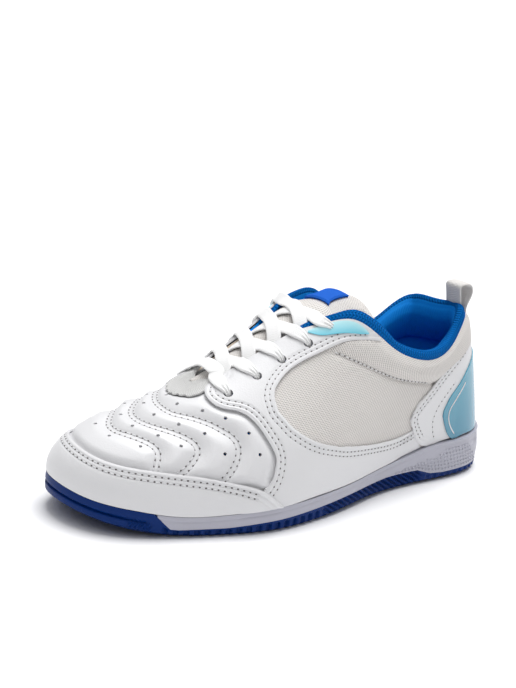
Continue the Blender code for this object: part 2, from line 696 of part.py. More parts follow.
def strap(name, points, normals, width, wall, material):
    """Flat strap along points, lying square to the normals."""
    points, normals = np.array(points), np.array(normals)
    rings = []
    for i, point in enumerate(points):
        before, after = points[max(i - 1, 0)], points[min(i + 1, len(points) - 1)]
        tangent = (after - before) / np.linalg.norm(after - before)
        sideways = np.cross(normals[i], tangent)
        sideways /= np.linalg.norm(sideways)
        normal = np.cross(tangent, sideways)
        a, b = sideways * width / 2, normal * wall / 2
        rings.append(np.array([point - a - b, point + a - b, point + a + b, point - a + b]))
    return tube(name, rings, material)


def lace_over(eyelet, side):
    """Points from an eyelet to the throat's edge, on top of the eyestay."""
    clock, rise, along = EYELETS[eyelet]
    edge = throat_clock(along, side)
    place = clock if side == "lateral" else 360 - clock
    lift = OVERLAY_GAP + OVERLAY_WALL + LACE_GAP + LACE_WALL / 2
    if eyelet == len(EYELETS) - 1:
        lift += PANEL_GAP + PANEL_WALL
    clocks = [place, place * 0.5 + edge * 0.5, edge]
    rises = [rise, rise * 0.45 + 0.55, 1.0]
    points = skin(clocks, rises, lift)
    normals = skin(clocks, rises, lift + 0.001) - points
    return list(points), list(normals * 1000)


def lace_crossing(sheet, eyelet, side):
    """One pass of the lace: under the edge on the far side, over the tongue and the near edge."""
    sign = 1 if side == "lateral" else -1
    start, end = EYELETS[eyelet - 1][2], EYELETS[eyelet][2]
    points, normals = [], []
    for across in (-0.34, -0.18, 0.0, 0.20, 0.40):
        share = (across + 0.55) / 1.1
        along = start + (end - start) * share
        lift = np.interp(across, (-0.34, 0.0, 0.40),
                         (LACE_LIFT_START, LACE_LIFT_MIDDLE, LACE_LIFT_OVER * 0.87))
        normal = sheet_normal(sheet, along, [across * sign])[0]
        points.append(sheet(along, [across * sign])[0] + normal * lift)
        normals.append(normal)
    over, over_normals = lace_over(eyelet, side)
    return points + over[::-1], normals + over_normals[::-1]


def make_laces(sheet, material):
    laces = []
    first, first_normals = lace_over(0, "lateral")
    last, last_normals = lace_over(0, "medial")
    middle, middle_normals = [], []
    for across in (0.36, 0.18, 0.0, -0.18, -0.36):
        along = EYELETS[0][2]
        lift = LACE_LIFT_OVER * np.interp(abs(across), (0, 0.36), (0.62, 0.76))
        normal = sheet_normal(sheet, along, [across])[0]
        middle.append(sheet(along, [across])[0] + normal * lift)
        middle_normals.append(normal)
    laces.append(strap("lace_bar", first + middle + last[::-1],
                       first_normals + middle_normals + last_normals[::-1],
                       LACE_WIDTH, LACE_WALL, material))
    for eyelet in range(1, len(EYELETS)):
        crossing = strap(f"lace_cross_{eyelet}", *lace_crossing(sheet, eyelet, "lateral"),
                         LACE_WIDTH, LACE_WALL, material)
        other = strap(f"lace_cutter_{eyelet}", *lace_crossing(sheet, eyelet, "medial"),
                      LACE_WIDTH, LACE_WALL * 0.97, material)
        cut(crossing, other, "UNION")
        laces.append(crossing)
    return laces


def make_pull_loop(material):
    """Webbing loop over the back of the collar, from the heel counter to the lining."""
    lift = OVERLAY_GAP + GAP + OVERLAY_WALL + LOOP_WALL / 2
    foot = skin([0] * len(LOOP_RISES), LOOP_RISES, lift)
    edge = surface([0.0], 1.0)[0]
    top = edge[2] + LOOP_HEIGHT
    inside = edge[0] + LINING_WALL * LINING_FULLNESS[0][1] + LOOP_INWARD
    outside = foot[-1][0] - LOOP_LEAN
    points = list(foot) + [
        np.array([outside, 0, top - LOOP_SHOULDER]),
        np.array([outside + LOOP_ROUND, 0, top - LOOP_FLAT]),
        np.array([(outside + inside) / 2, 0, top]),
        np.array([inside - LOOP_ROUND, 0, top - LOOP_FLAT]),
        np.array([inside, 0, top - LOOP_SHOULDER]),
        np.array([inside, 0, edge[2] - LOOP_TAIL])]
    normals = []
    for i in range(len(points)):
        before, after = points[max(i - 1, 0)], points[min(i + 1, len(points) - 1)]
        tangent = after - before
        normals.append(np.array([-tangent[2], 0, tangent[0]]) / np.linalg.norm(tangent))
    return strap("pull_loop", points, normals, LOOP_WIDTH, LOOP_WALL, material)


def place_origin():
    """Hang every object on an empty, so that the shoe stands centred over the origin."""
    bpy.context.view_layer.update()
    graph = bpy.context.evaluated_depsgraph_get()
    solids = [item for item in bpy.data.objects if not item.hide_render]
    corners = []
    for item in solids:
        mesh = item.evaluated_get(graph).to_mesh()
        corners.extend(tuple(vertex.co) for vertex in mesh.vertices)
    corners = np.array(corners)
    low, high = corners.min(axis=0), corners.max(axis=0)
    stand = bpy.data.objects.new("shoe_origin", None)
    bpy.context.collection.objects.link(stand)
    for item in list(bpy.data.objects):
        if item is not stand:
            item.parent = stand
    stand.location = (-(low[0] + high[0]) / 2, -(low[1] + high[1]) / 2, -low[2])


def main():
    for old in list(bpy.data.objects):
        bpy.data.objects.remove(old, do_unlink=True)
    white = plain_material("white_leather", (0.86, 0.86, 0.88), 0.38)
    mesh = plain_material("beige_mesh", (0.68, 0.64, 0.60), 0.8)
    blue_rubber = plain_material("blue_rubber", (0.01, 0.05, 0.30), 0.5)
    foam = plain_material("white_foam", (0.74, 0.74, 0.80), 0.55)
    blue_knit = plain_material("blue_knit", (0.0, 0.13, 0.48), 0.85)
    cyan = plain_material("cyan_film", (0.20, 0.52, 0.66), 0.3)
    lace = plain_material("white_lace", (0.92, 0.92, 0.92), 0.9)
    webbing = plain_material("webbing", (0.66, 0.64, 0.60), 0.85)

    outsole = make_outsole(blue_rubber)
    cut(outsole, groove_ring("pivot_cutter", PIVOT_PLACE, PIVOT_RADIUS, 1.0, foam))
    cut(outsole, groove_ring("heel_cutter", HEEL_OVAL_PLACE, HEEL_OVAL_RADIUS, HEEL_OVAL_STRETCH, foam))
    cut(outsole, shank_cutter(foam))
    for number, places in enumerate(FLEX_GROOVES, 1):
        cut(outsole, groove_run(f"flex_cutter_{number}", places, foam))
    make_midsole(foam)
    make_insole(blue_knit)
    lateral = eyelet_cutters("lateral", foam)
    medial = eyelet_cutters("medial", foam)
    make_upper(mesh, lateral + medial)
    make_layer("mudguard", MUDGUARD_EDGES, 37, 5, OVERLAY_GAP, OVERLAY_WALL, white)
    make_saddle("lateral", white, lateral)
    make_saddle("medial", white, medial)
    make_layer("heel_counter", COUNTER_EDGES, 29, 8, OVERLAY_GAP, OVERLAY_WALL, white)
    film = OVERLAY_GAP + OVERLAY_WALL + PANEL_GAP
    make_layer("heel_panel", PANEL_EDGES, 21, 6, film, PANEL_WALL, cyan)
    make_layer("eyelet_insert_lateral", INSERT_EDGES, 9, 3, film, PANEL_WALL, cyan)
    make_layer("eyelet_insert_medial", INSERT_EDGES, 9, 3, film, PANEL_WALL, cyan, mirrored=True)
    make_collar(blue_knit)
    sheet = tongue_sheet()
    make_tongue(sheet, mesh)
    make_label(sheet, blue_knit)
    make_laces(sheet, lace)
    make_pull_loop(webbing)
    place_origin()


main()
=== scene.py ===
"""Looks of an indoor soccer shoe for the left foot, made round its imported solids.

Places follow the shoe's own layout: +X from the heel to the toe, +Y to the outer (lateral) side,
+Z up. Round the foot a place is named by its clock: 0 at the back of the heel, 90 at the outer
waist, 180 at the tip of the toe, 270 at the inner waist. Up the upper it is named by its rise:
0 at the sole and 1 at the edge of the collar or throat.
"""
import math

import bmesh
import bpy
import numpy as np
from bpy.props import FloatProperty, FloatVectorProperty, IntProperty, PointerProperty
from mathutils import Matrix, Vector


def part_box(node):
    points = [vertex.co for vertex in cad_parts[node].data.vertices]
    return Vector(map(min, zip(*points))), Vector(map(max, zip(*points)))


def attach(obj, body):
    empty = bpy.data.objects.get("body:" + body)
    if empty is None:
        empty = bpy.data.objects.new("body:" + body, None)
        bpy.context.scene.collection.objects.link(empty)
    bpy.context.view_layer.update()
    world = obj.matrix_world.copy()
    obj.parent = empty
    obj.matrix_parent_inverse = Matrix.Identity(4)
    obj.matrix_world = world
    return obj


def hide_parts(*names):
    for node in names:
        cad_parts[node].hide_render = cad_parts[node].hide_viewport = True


bl_info = {
    "name": "Indoor soccer shoe",
    "version": (1, 0, 0),
    "blender": (4, 5, 0),
    "location": "3D View > Sidebar > Shoe",
    "description": "Builds the finished surfaces of an indoor soccer shoe on its frame",
    "category": "Add Mesh",
}

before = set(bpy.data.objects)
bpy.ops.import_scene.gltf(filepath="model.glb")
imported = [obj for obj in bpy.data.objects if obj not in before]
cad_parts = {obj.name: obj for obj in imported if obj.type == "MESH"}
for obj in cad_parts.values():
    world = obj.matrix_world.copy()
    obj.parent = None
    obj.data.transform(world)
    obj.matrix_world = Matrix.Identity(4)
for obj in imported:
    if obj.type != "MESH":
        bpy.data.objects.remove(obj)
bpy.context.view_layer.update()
BODY = "root"

# Driving dimensions of the shoe, in metres
LENGTH = 0.262
BALL_WIDTH = 0.099
INSTEP_HEIGHT = 0.096
SOLE_HEIGHT = 0.0275
TOE_SPRING = 0.009
ARCH_RISE = 0.0032
TREAD_THICKNESS = 0.0032
RAND_WALL = 0.0024
RIM_WIDTH = 0.0030
FOOTBED_DEPTH = 0.0020
UPPER_WALL = 0.0020
OVERLAY_WALL = 0.0011
PANEL_WALL = 0.0005
LINING_WALL = 0.0062
LINING_RISE = 0.0044
LINING_DEPTH = 0.0250
TONGUE_WALL = 0.0036
TONGUE_CROWN = 0.0052
TONGUE_TUCK = 0.0110
INSOLE_WALL = 0.0034
EYELET_RADIUS = 0.0021
LOOP_WIDTH = 0.0120
LOOP_HEIGHT = 0.0140
PIVOT_RADIUS = 0.0180
HEEL_OVAL_RADIUS = 0.0090
BOTTOM_INSET = 0.0030
HEEL_INSET = 0.0010
HEEL_BULGE = 0.0003
FEATHER_INSET = 0.0016
GAP = 0.0003
LAYER_GAP = 0.0003
TONGUE_GAP = 0.0014
# The foot of the upper is drawn further in round the heel: how far, the clock where it begins
# and the clock where it is full
HEEL_TUCK = 0.0026
HEEL_TUCK_START = 62
HEEL_TUCK_FULL = 30
# Seams of the overlays: the first row's distance from the edge, on the guard and counter and on
# the saddles
SEAM_INSET = 0.0022
SADDLE_SEAM_INSET = 0.0024
# Underside of the films, just clear of the overlay below them
FILM_BASE = LAYER_GAP + OVERLAY_WALL + 0.0001
# Eyelet holes are cut a little wider here than in the solids: radius, and how far the cutter
# reaches outwards and inwards
EYELET_CUT = EYELET_RADIUS * 1.12
EYELET_CUT_REACH = (0.004, -0.006)
AIR_HOLE_REACH = (0.0035, -0.0012)

# Where the tread begins to rise towards the toe, and the arch, as shares of length
TOE_SPRING_START = 0.77
ARCH_START = 0.28
ARCH_END = 0.55

# Widest outline of the sole: clock, along as share of length, across as share of ball width
OUTLINE = [
    (0, -0.014, -0.05), (14, 0.030, 0.185), (30, 0.13, 0.285), (46, 0.235, 0.305),
    (62, 0.34, 0.350), (78, 0.45, 0.445), (94, 0.555, 0.517), (108, 0.65, 0.545),
    (124, 0.76, 0.495), (142, 0.87, 0.405), (160, 0.955, 0.265), (180, 1.0, 0.0),
    (197, 0.975, -0.215), (212, 0.90, -0.335), (228, 0.80, -0.415), (246, 0.685, -0.455),
    (262, 0.58, -0.395), (278, 0.48, -0.325), (294, 0.375, -0.295), (310, 0.26, -0.315),
    (328, 0.14, -0.325), (345, 0.035, -0.245)]

# Line where upper and sole meet: clock, height as share of sole height
FEATHER = [
    (0, 0.84), (19, 0.81), (32, 0.772), (41, 0.745), (50, 0.66), (60, 0.585), (76, 0.516),
    (92, 0.487), (108, 0.451), (122, 0.396), (135, 0.385), (148, 0.48), (165, 0.58), (180, 0.665),
    (195, 0.64), (212, 0.52), (228, 0.436), (246, 0.43), (262, 0.465), (280, 0.516),
    (300, 0.60), (320, 0.73), (340, 0.81)]

# Top of the rubber on the side of the sole: clock, height as share of sole height
BAND = [
    (0, 0.17), (34, 0.16), (40, 0.19), (46, 0.31), (60, 0.33), (80, 0.30), (100, 0.25),
    (112, 0.21), (122, 0.165), (136, 0.16), (138.5, 0.175), (143.5, 0.44), (145, 1.0),
    (215, 1.0), (216.5, 0.44), (221.5, 0.175), (224, 0.16), (246, 0.165), (262, 0.21),
    (285, 0.31), (305, 0.31), (318, 0.19), (330, 0.16), (360, 0.17)]

# Shank recess in the tread: along as share of length, across as share of ball width
SHANK = [
    (0.235, -0.10), (0.30, 0.14), (0.40, 0.21), (0.50, 0.22), (0.585, 0.13), (0.545, 0.0),
    (0.52, -0.16), (0.44, -0.20), (0.33, -0.22)]
PIVOT_PLACE = (0.71, 0.0)
HEEL_OVAL_PLACE = (0.10, -0.03)
HEEL_OVAL_STRETCH = 1.5

# Edge of collar and throat: clock, along as share of length, across as share of ball width,
# height as share of instep height
TOPLINE = [
    (0, 0.078, 0.0, 0.928), (10, 0.085, 0.076, 0.925), (20, 0.102, 0.131, 0.896),
    (30, 0.129, 0.177, 0.833), (41, 0.168, 0.232, 0.766), (53, 0.225, 0.291, 0.734),
    (65, 0.286, 0.318, 0.755), (76, 0.347, 0.323, 0.823), (86, 0.401, 0.313, 0.927),
    (94, 0.450, 0.283, 0.995), (102, 0.492, 0.217, 0.964), (109, 0.538, 0.157, 0.915),
    (116, 0.584, 0.131, 0.847), (123, 0.630, 0.121, 0.776), (132, 0.676, 0.111, 0.706),
    (144, 0.714, 0.091, 0.649), (162, 0.740, 0.051, 0.619), (180, 0.748, 0.0, 0.610),
    (198, 0.740, -0.051, 0.619), (216, 0.714, -0.091, 0.645), (228, 0.676, -0.111, 0.690),
    (237, 0.630, -0.126, 0.757), (244, 0.584, -0.136, 0.828), (251, 0.538, -0.157, 0.900),
    (258, 0.492, -0.212, 0.955), (266, 0.450, -0.272, 0.965), (274, 0.401, -0.318, 0.951),
    (284, 0.340, -0.338, 0.862), (295, 0.275, -0.338, 0.765), (307, 0.218, -0.323, 0.738),
    (319, 0.168, -0.293, 0.846), (331, 0.124, -0.247, 0.915), (345, 0.092, -0.131, 0.915)]

# Curve of the wall: clock, then reach out and rise off the sole, and reach out and drop
# off the edge, as shares of instep height
WALL_CURVE = [
    (0, -0.047, 0.27, 0.060, -0.160), (25, -0.030, 0.26, 0.050, -0.156),
    (50, 0.031, 0.188, 0.052, -0.146), (75, 0.042, 0.208, 0.083, -0.229),
    (95, 0.042, 0.250, 0.146, -0.208), (112, 0.042, 0.271, 0.177, -0.125),
    (130, 0.031, 0.250, 0.208, -0.094), (150, 0.026, 0.229, 0.292, -0.104),
    (180, 0.021, 0.208, 0.375, -0.135), (210, 0.026, 0.177, 0.292, -0.146),
    (230, 0.031, 0.167, 0.196, -0.180), (248, 0.031, 0.188, 0.160, -0.196),
    (265, 0.031, 0.229, 0.146, -0.224), (285, 0.042, 0.229, 0.083, -0.229),
    (310, 0.042, 0.208, 0.052, -0.146), (335, -0.030, 0.26, 0.050, -0.156)]

# Toe guard: clock, lower rise, upper rise
MUDGUARD_EDGES = [
    (107, 0.004, 0.012), (114, 0.004, 0.125), (120, 0.004, 0.175), (131, 0.004, 0.25),
    (142, 0.004, 0.285), (155, 0.004, 0.298), (168, 0.004, 0.315), (180, 0.004, 0.342),
    (192, 0.004, 0.36), (205, 0.004, 0.335), (218, 0.004, 0.29), (229, 0.004, 0.24),
    (240, 0.004, 0.175), (246, 0.004, 0.125), (253, 0.004, 0.012)]

# Saddle with its eyestay, from the collar round the mesh window to the heel counter:
# clock and rise at the window, clock and rise at the outer edge
SADDLE = [
    (83.5, 0.972, 85.5, 0.992), (92, 0.872, 99, 0.992), (100, 0.810, 112, 0.99),
    (106, 0.765, 124, 0.99), (111, 0.715, 135, 0.99), (113.5, 0.66, 142.5, 0.965),
    (114, 0.63, 142, 0.895), (113.8, 0.59, 137, 0.785), (113, 0.55, 130, 0.67),
    (112, 0.51, 123, 0.585), (110, 0.47, 117.5, 0.47), (108, 0.43, 114.5, 0.39),
    (105, 0.39, 111.5, 0.30), (102, 0.36, 111, 0.23), (98, 0.33, 111.6, 0.165),
    (93, 0.31, 113.5, 0.10), (90.5, 0.305, 110, 0.008), (88, 0.30, 97, 0.01),
    (77, 0.30, 82, 0.01), (67, 0.28, 69, 0.01), (58, 0.26, 56, 0.01), (51, 0.262, 45, 0.01)]


def both_sides(half):
    """Rows of a table from clock 0 outwards, with their twins on the inner side before them."""
    return [(-clock, *rest) for clock, *rest in reversed(half[1:])] + half


# Heel counter, either side of the heel: clock, lower rise, upper rise
COUNTER_EDGES = both_sides([
    (0, 0.01, 0.82), (28, 0.01, 0.81), (37, 0.01, 0.775), (43, 0.01, 0.715),
    (46.5, 0.07, 0.66), (50.5, 0.21, 0.59), (54, 0.34, 0.52), (55.5, 0.40, 0.46)])

# Heel panel on the counter, either side of the heel: clock, lower rise, upper rise
PANEL_EDGES = both_sides([
    (0, 0.01, 0.63), (12, 0.01, 0.61), (22, 0.01, 0.56), (27, 0.01, 0.505),
    (31.5, 0.012, 0.435), (35, 0.13, 0.37), (37, 0.24, 0.29)])

# Insert beside the top eyelet: clock, lower rise, upper rise
INSERT_EDGES = [
    (88.5, 0.948, 0.956), (91.5, 0.915, 0.970), (95, 0.897, 0.976), (100, 0.892, 0.976),
    (103.5, 0.905, 0.970), (106.5, 0.940, 0.953)]

# Eyelets from toe to ankle: clock, rise, and the place along the throat as share of length
EYELETS = [
    (129, 0.76, 0.695), (120, 0.78, 0.642), (113, 0.81, 0.590), (106, 0.865, 0.535),
    (100, 0.945, 0.487)]

# Tongue behind the throat: along as share of length, half width as share of ball width,
# middle and edge height as share of instep height
TONGUE_TOP = [
    (0.440, 0.205, 1.012, 0.945), (0.405, 0.205, 1.038, 0.965), (0.368, 0.195, 1.032, 0.960)]
# Rails along the tongue: place across it, from the medial side to the lateral one
TONGUE_PLACES = (-1, -0.55, 0, 0.55, 1)
# Stretch of the tongue under the eyestays: along as share of length, share of the tuck
TONGUE_TUCKED = [
    (0.738, 0.6), (0.715, 0.8), (0.68, 1.0), (0.64, 1.0), (0.60, 1.0), (0.56, 0.9),
    (0.52, 0.7), (0.485, 0.45)]

# Padded collar across its wall: inward as share of the wall, height as share of its rise
# above the edge or of its depth below it, and 1 where it lies behind the upper
LINING_PROFILE = [
    (0.0, 0.0, 0), (0.03, 0.58, 0), (0.32, 1.0, 0), (0.70, 0.84, 0), (0.98, 0.15, 0),
    (1.0, -0.28, 1), (0.82, -0.68, 1), (0.32, -1.0, 1), (0.0, -0.92, 1), (0.0, -0.46, 1)]
# Fullness of the padded collar: clock either side of the heel, share of the wall
LINING_FULLNESS = [
    (0, 0.85), (14, 0.95), (30, 1.0), (60, 1.0), (75, 0.96), (88, 0.85), (97, 0.74),
    (105, 0.62), (112, 0.45)]
# Where the front of the collar stands higher than its wall asks for: it grows from the first
# clock over the second number of degrees, and ends at the third over the fourth
COLLAR_FRONT = (74, 10, 113, 8)
COLLAR_FRONT_SHARE = 0.45

# Sewn channels of the quilted vamp, from the outer side over the toes to the inner side
CHANNELS = [
    [(146, 0.285), (147, 0.37), (148, 0.43), (151, 0.48), (156, 0.52), (163, 0.55), (168, 0.558),
     (175, 0.567), (180, 0.585), (186, 0.618), (197, 0.64), (205, 0.61), (210, 0.54), (213, 0.45),
     (214, 0.36), (213, 0.295)],
    [(139, 0.27), (136, 0.33), (135, 0.37), (134.5, 0.43), (137, 0.49), (141, 0.54), (147, 0.59),
     (154, 0.63), (163, 0.665), (172, 0.693), (180, 0.72), (188, 0.75), (197, 0.77), (208, 0.75),
     (216, 0.68), (222, 0.58), (225, 0.47), (225, 0.37), (222, 0.27)],
    [(126, 0.20), (123, 0.26), (122, 0.32), (122, 0.38), (124, 0.45), (128, 0.52), (132, 0.58),
     (138, 0.65), (145, 0.71), (154, 0.76), (167, 0.82), (183, 0.86), (197, 0.865), (212, 0.83),
     (222, 0.76), (230, 0.66), (236, 0.54), (238, 0.43), (238, 0.33), (235, 0.21)]]
# Air holes in the vamp: clock, rise
AIR_HOLES = [
    (184, 0.53), (171, 0.50), (156, 0.47), (198, 0.50), (208, 0.42),
    (181, 0.67), (167, 0.62), (152, 0.56), (141, 0.47), (196, 0.71), (210, 0.64), (218, 0.52),
    (181, 0.80), (163, 0.73), (146, 0.64), (134, 0.53), (126, 0.37), (199, 0.82), (215, 0.76),
    (227, 0.64), (232, 0.47), (178, 0.91), (156, 0.83), (138, 0.71), (128, 0.59), (120, 0.45),
    (116, 0.32), (203, 0.92), (222, 0.83), (235, 0.69), (242, 0.51), (244, 0.34)]
# Seam between the mesh of the quarter and the padded mesh of the collar: clock, rise
MESH_SEAM = [
    (102, 0.815), (98, 0.785), (93, 0.765), (88, 0.770), (82, 0.79), (75, 0.805), (66, 0.797),
    (57, 0.76), (51, 0.705), (45, 0.64)]
# White line on the heel panel: clock, rise
PANEL_LINE = [
    (25.2, 0.45), (29, 0.38), (32, 0.32), (34, 0.26), (34, 0.20), (32.6, 0.12), (29.6, 0.03)]
# Mesh patch at the foot of the throat: clock, rise of its front edge
PATCH_EDGE = [
    (139, 0.93), (147, 0.895), (157, 0.915), (169, 0.93), (180, 0.935), (192, 0.935),
    (204, 0.925), (214, 0.91), (222, 0.94)]

# Relief on the side of the rubber, the same on both sides of the foot: first and last clock of
# a zone, and the degrees over which it fades in and out
HEEL_ZONE = (-10, 44, 4, 4)
WAIST_ZONE = (42, 92, 5, 5)
FOREFOOT_ZONE = (88, 142, 6, 3)
RAND_CORNER_ZONE = (143, 153, 2, 2)
RAND_ZONE = (143, 190, 4, 4)
# Ridges of that relief: distance from one to the next, and how flat their tops are
TEETH = (0.0052, 3)
WAIST_RIBS = (0.0046, 2.2)
CORNER_LINES = (0.0023, 2)
HEEL_PAD_RIBS = (0.0030, 2)
# Zigzag bars of the tread: length and swing of one zigzag, and a bar's share of the pitch
ZIGZAG_PERIOD = 0.0240
ZIGZAG_SWING = 0.0062
BAR_SHARE = 0.52
# Bare ground that the bars leave at the sole's edge, round the pivot ring and round the heel
# oval, and by how much the shank recess is widened for them
EDGE_CLEARANCE = 0.0034
RING_CLEARANCE = 0.0035
OVAL_CLEARANCE = 0.0028
SHANK_CLEARANCE = 1.12
# Dots of the heel pad, in rows one above another: rows, distance between dots, length of a dot
DOT_ROWS = 6
DOT_PITCH = 0.0026
DOT_SIZE = 0.0011

# Stations round the foot for the side of the sole, and columns and rows of the upper's grid
SOLE_STATIONS = 1440
UPPER_GRID = (440, 84)
# The upper's grid is closer over the vamp: share of the columns, clock
UPPER_COLUMNS = ((0.0, 0), (0.20, 104), (0.80, 256), (1.0, 360))
VAMP_START = 104
# Finishes of the upper outside, then of its inside in the same order
UPPER_FINISHES = ("leather", "mesh", "collar_mesh", "tan", "lining", "lining")
LEATHER_ZONE, MESH_ZONE, COLLAR_ZONE = 0, 1, 2
MAX_SHADE_ANGLE = math.radians(38)
MAX_FLAT_ANGLE = math.radians(50)

# Colours that no setting holds
WHITE_MESH = (0.90, 0.90, 0.89)
# Insole blue: darker than the lining blue, partly the cloth's own colour and partly painted shade
# deep inside the shoe.
SHADED_INSOLE_BLUE = (0.0005, 0.075, 0.30)
LABEL_BLUE = (0.008, 0.12, 0.60)
TAN = (0.74, 0.64, 0.53)
PALE_FILM = (0.48, 0.80, 0.86)
PALE_HEEL_FILM = (0.07, 0.31, 0.43)
FLOOR_WHITE = (0.93, 0.93, 0.94)

# Broad light from above, a little from the heel and the inner side: direction and angle
KEY_DIRECTION = (-0.25, -0.12, 1.2)
KEY_ANGLE = math.radians(40)
HORIZON_GLOW = 1.15


def length_setting(name, description, default):
    """Length that a user may change, in metres."""
    return FloatProperty(name=name, description=description, default=default, unit="LENGTH")


def colour_setting(name, description, default):
    """Colour that a user may change."""
    return FloatVectorProperty(
        name=name, description=description, default=default, subtype="COLOR")


def angle_setting(name, description, degrees):
    """Angle that a user may change."""
    return FloatProperty(
        name=name, description=description, default=math.radians(degrees), subtype="ANGLE")


class ShoeSizes(bpy.types.PropertyGroup):
    """Sizes of the fine work."""

    stitch_pitch: length_setting("Stitch pitch", "Distance from one stitch to the next", 0.0031)
    stitch_length: length_setting(
        "Stitch length", "Thread that shows between two needle holes", 0.0021)
    stitch_width: length_setting("Thread width", "Width of the sewing thread", 0.00062)
    needle_hole: length_setting("Needle hole", "Radius of a needle hole", 0.00040)
    row_gap: length_setting("Row gap", "Distance between the rows of a double seam", 0.0023)
    channel_gap: length_setting(
        "Channel width", "Distance between the seams of a quilting channel", 0.0024)
    puff: length_setting("Padding", "How far the quilted vamp swells between its channels", 0.0019)
    air_hole: length_setting("Air hole", "Radius of an air hole in the vamp", 0.00085)
    lace_width: length_setting("Lace width", "Width of the flat lace", 0.0073)
    lace_wall: length_setting("Lace thickness", "Thickness of the flat lace", 0.0013)
    tread_pitch: length_setting("Tread pitch", "Distance between the bars of the tread", 0.0036)
    tread_depth: length_setting("Tread depth", "Height of the bars of the tread", 0.0012)


class ShoeColours(bpy.types.PropertyGroup):
    """Colours of the finishes."""

    leather: colour_setting("Leather", "White synthetic leather", (0.71, 0.71, 0.725))
    mesh: colour_setting("Mesh", "Beige mesh cloth", (0.86, 0.825, 0.795))
    rubber: colour_setting("Rubber", "Blue sole", (0.0003, 0.024, 0.15))
    foam: colour_setting("Foam", "White midsole", (0.46, 0.46, 0.53))
    knit: colour_setting("Knit", "Blue collar knit", (0.0, 0.14, 0.50))
    lining: colour_setting("Lining", "Blue inner cloth", (0.0, 0.25, 0.80))
    film: colour_setting("Film", "Light blue film", (0.155, 0.57, 0.71))
    heel_film: colour_setting("Heel film", "Blue-green heel panel", (0.045, 0.24, 0.36))
    lace: colour_setting("Lace", "White lace", (0.90, 0.90, 0.90))
    webbing: colour_setting("Webbing", "Pull loop", (0.76, 0.74, 0.72))
    needle: colour_setting("Needle holes", "Shade inside a needle hole", (0.14, 0.13, 0.13))


class ShoeStudio(bpy.types.PropertyGroup):
    """Camera and light."""

    azimuth: angle_setting("Azimuth", "Camera's direction from +X towards +Y", 52.41)
    elevation: angle_setting("Elevation", "Camera's height angle", 18.36)
    roll: angle_setting("Roll", "Turn of the camera about its own axis", 6.11)
    yaw: angle_setting("Yaw", "Aim to the side of the shoe's middle", -1.55)
    pitch: angle_setting("Pitch", "Aim above the shoe's middle", 2.86)
    distance: length_setting("Distance", "From the camera to the shoe's middle", 0.6943)
    target_height: length_setting(
        "Target height", "Height of the middle that the camera circles", 0.0374)
    lens: FloatProperty(
        name="Lens", description="Focal length in millimetres", default=69.9)
    key_strength: FloatProperty(
        name="Key light", description="Strength of the broad light from above and behind",
        default=2.55)
    sky_low: FloatProperty(
        name="Low sky", description="Strength of the soft light near the floor", default=0.12)
    sky_high: FloatProperty(
        name="High sky", description="Strength of the soft light overhead", default=1.05)
    floor_half: IntProperty(
        name="Floor", description="Half the width of the floor, in metres", default=80)


def sizes():
    return bpy.context.scene.shoe_sizes


def colours():
    return bpy.context.scene.shoe_colours


# Shape of the shoe: the functions that its solids are cut from, with a tuck added round the heel
# and with some of the tables above mended towards the photograph

def spline(rows, period=None):
    """Smooth curve through rows of (place, value, value ...), closed if it has a period."""
    table = np.array(rows, float)
    place, value = table[:, 0], table[:, 1:]
    count = len(place)
    end = place[0] + period if period else place[-1] + 1
    step = np.append(place[1:], end) - place
    matrix = np.eye(count)
    right = np.zeros(value.shape)
    for i in range(count):
        if not period and i in (0, count - 1):
            continue
        before, after = (i - 1) % count, (i + 1) % count
        matrix[i, i] = 2 * (step[before] + step[i])
        matrix[i, before] = step[before]
        matrix[i, after] = step[i]
        rise = (value[after] - value[i]) / step[i]
        fall = (value[i] - value[before]) / step[before]
        right[i] = 6 * (rise - fall)
    bend = np.linalg.solve(matrix, right)

    def at(where):
        where = np.atleast_1d(np.asarray(where, float))
        if period:
            where = np.mod(where, period)
        last = count - 1 if period else count - 2
        low = np.clip(np.searchsorted(place, where, side="right") - 1, 0, last)
        high = (low + 1) % count
        size = step[low][:, None]
        past = (where - place[low])[:, None]
        left = size - past
        curve = (bend[low] * left ** 3 + bend[high] * past ** 3) / (6 * size)
        curve += (value[low] / size - bend[low] * size / 6) * left
        return curve + (value[high] / size - bend[high] * size / 6) * past

    return at


outline_curve = spline(OUTLINE, 360)
feather_curve = spline(FEATHER, 360)
topline_curve = spline(TOPLINE, 360)
wall_curve = spline(WALL_CURVE, 360)


def unit(vectors):
    """Rows of vectors, each made one long."""
    return vectors / np.maximum(np.linalg.norm(vectors, axis=-1, keepdims=True), 1e-12)


def lengths_along(points):
    """Distance along a line of points, from its first one."""
    steps = np.linalg.norm(np.diff(points, axis=0), axis=1)
    return np.concatenate([[0], np.cumsum(steps)])


def fold(clock):
    """The clock on the outer side of the foot for a place on either side, 0 to 180."""
    return np.where(clock > 180, 360 - clock, clock)


def outline(clock, inset):
    """Points of the sole's outline, moved inwards by inset, and the outward directions there."""
    clock = np.asarray(clock, float)
    size = np.array([LENGTH, BALL_WIDTH])
    step = 0.05
    tangent = (outline_curve(clock + step) - outline_curve(clock - step)) * size
    outward = unit(np.column_stack([-tangent[:, 1], tangent[:, 0]]))
    inset = np.broadcast_to(np.asarray(inset, float), clock.shape)
    return outline_curve(clock) * size - outward * inset[:, None], outward


def feather_height(clock):
    return feather_curve(clock)[:, 0] * SOLE_HEIGHT


def band_height(clock):
    """Top of the rubber side, never above the line of the upper."""
    table = np.array(BAND)
    height = np.interp(np.mod(clock, 360), table[:, 0], table[:, 1]) * SOLE_HEIGHT
    return np.minimum(height, feather_height(clock))


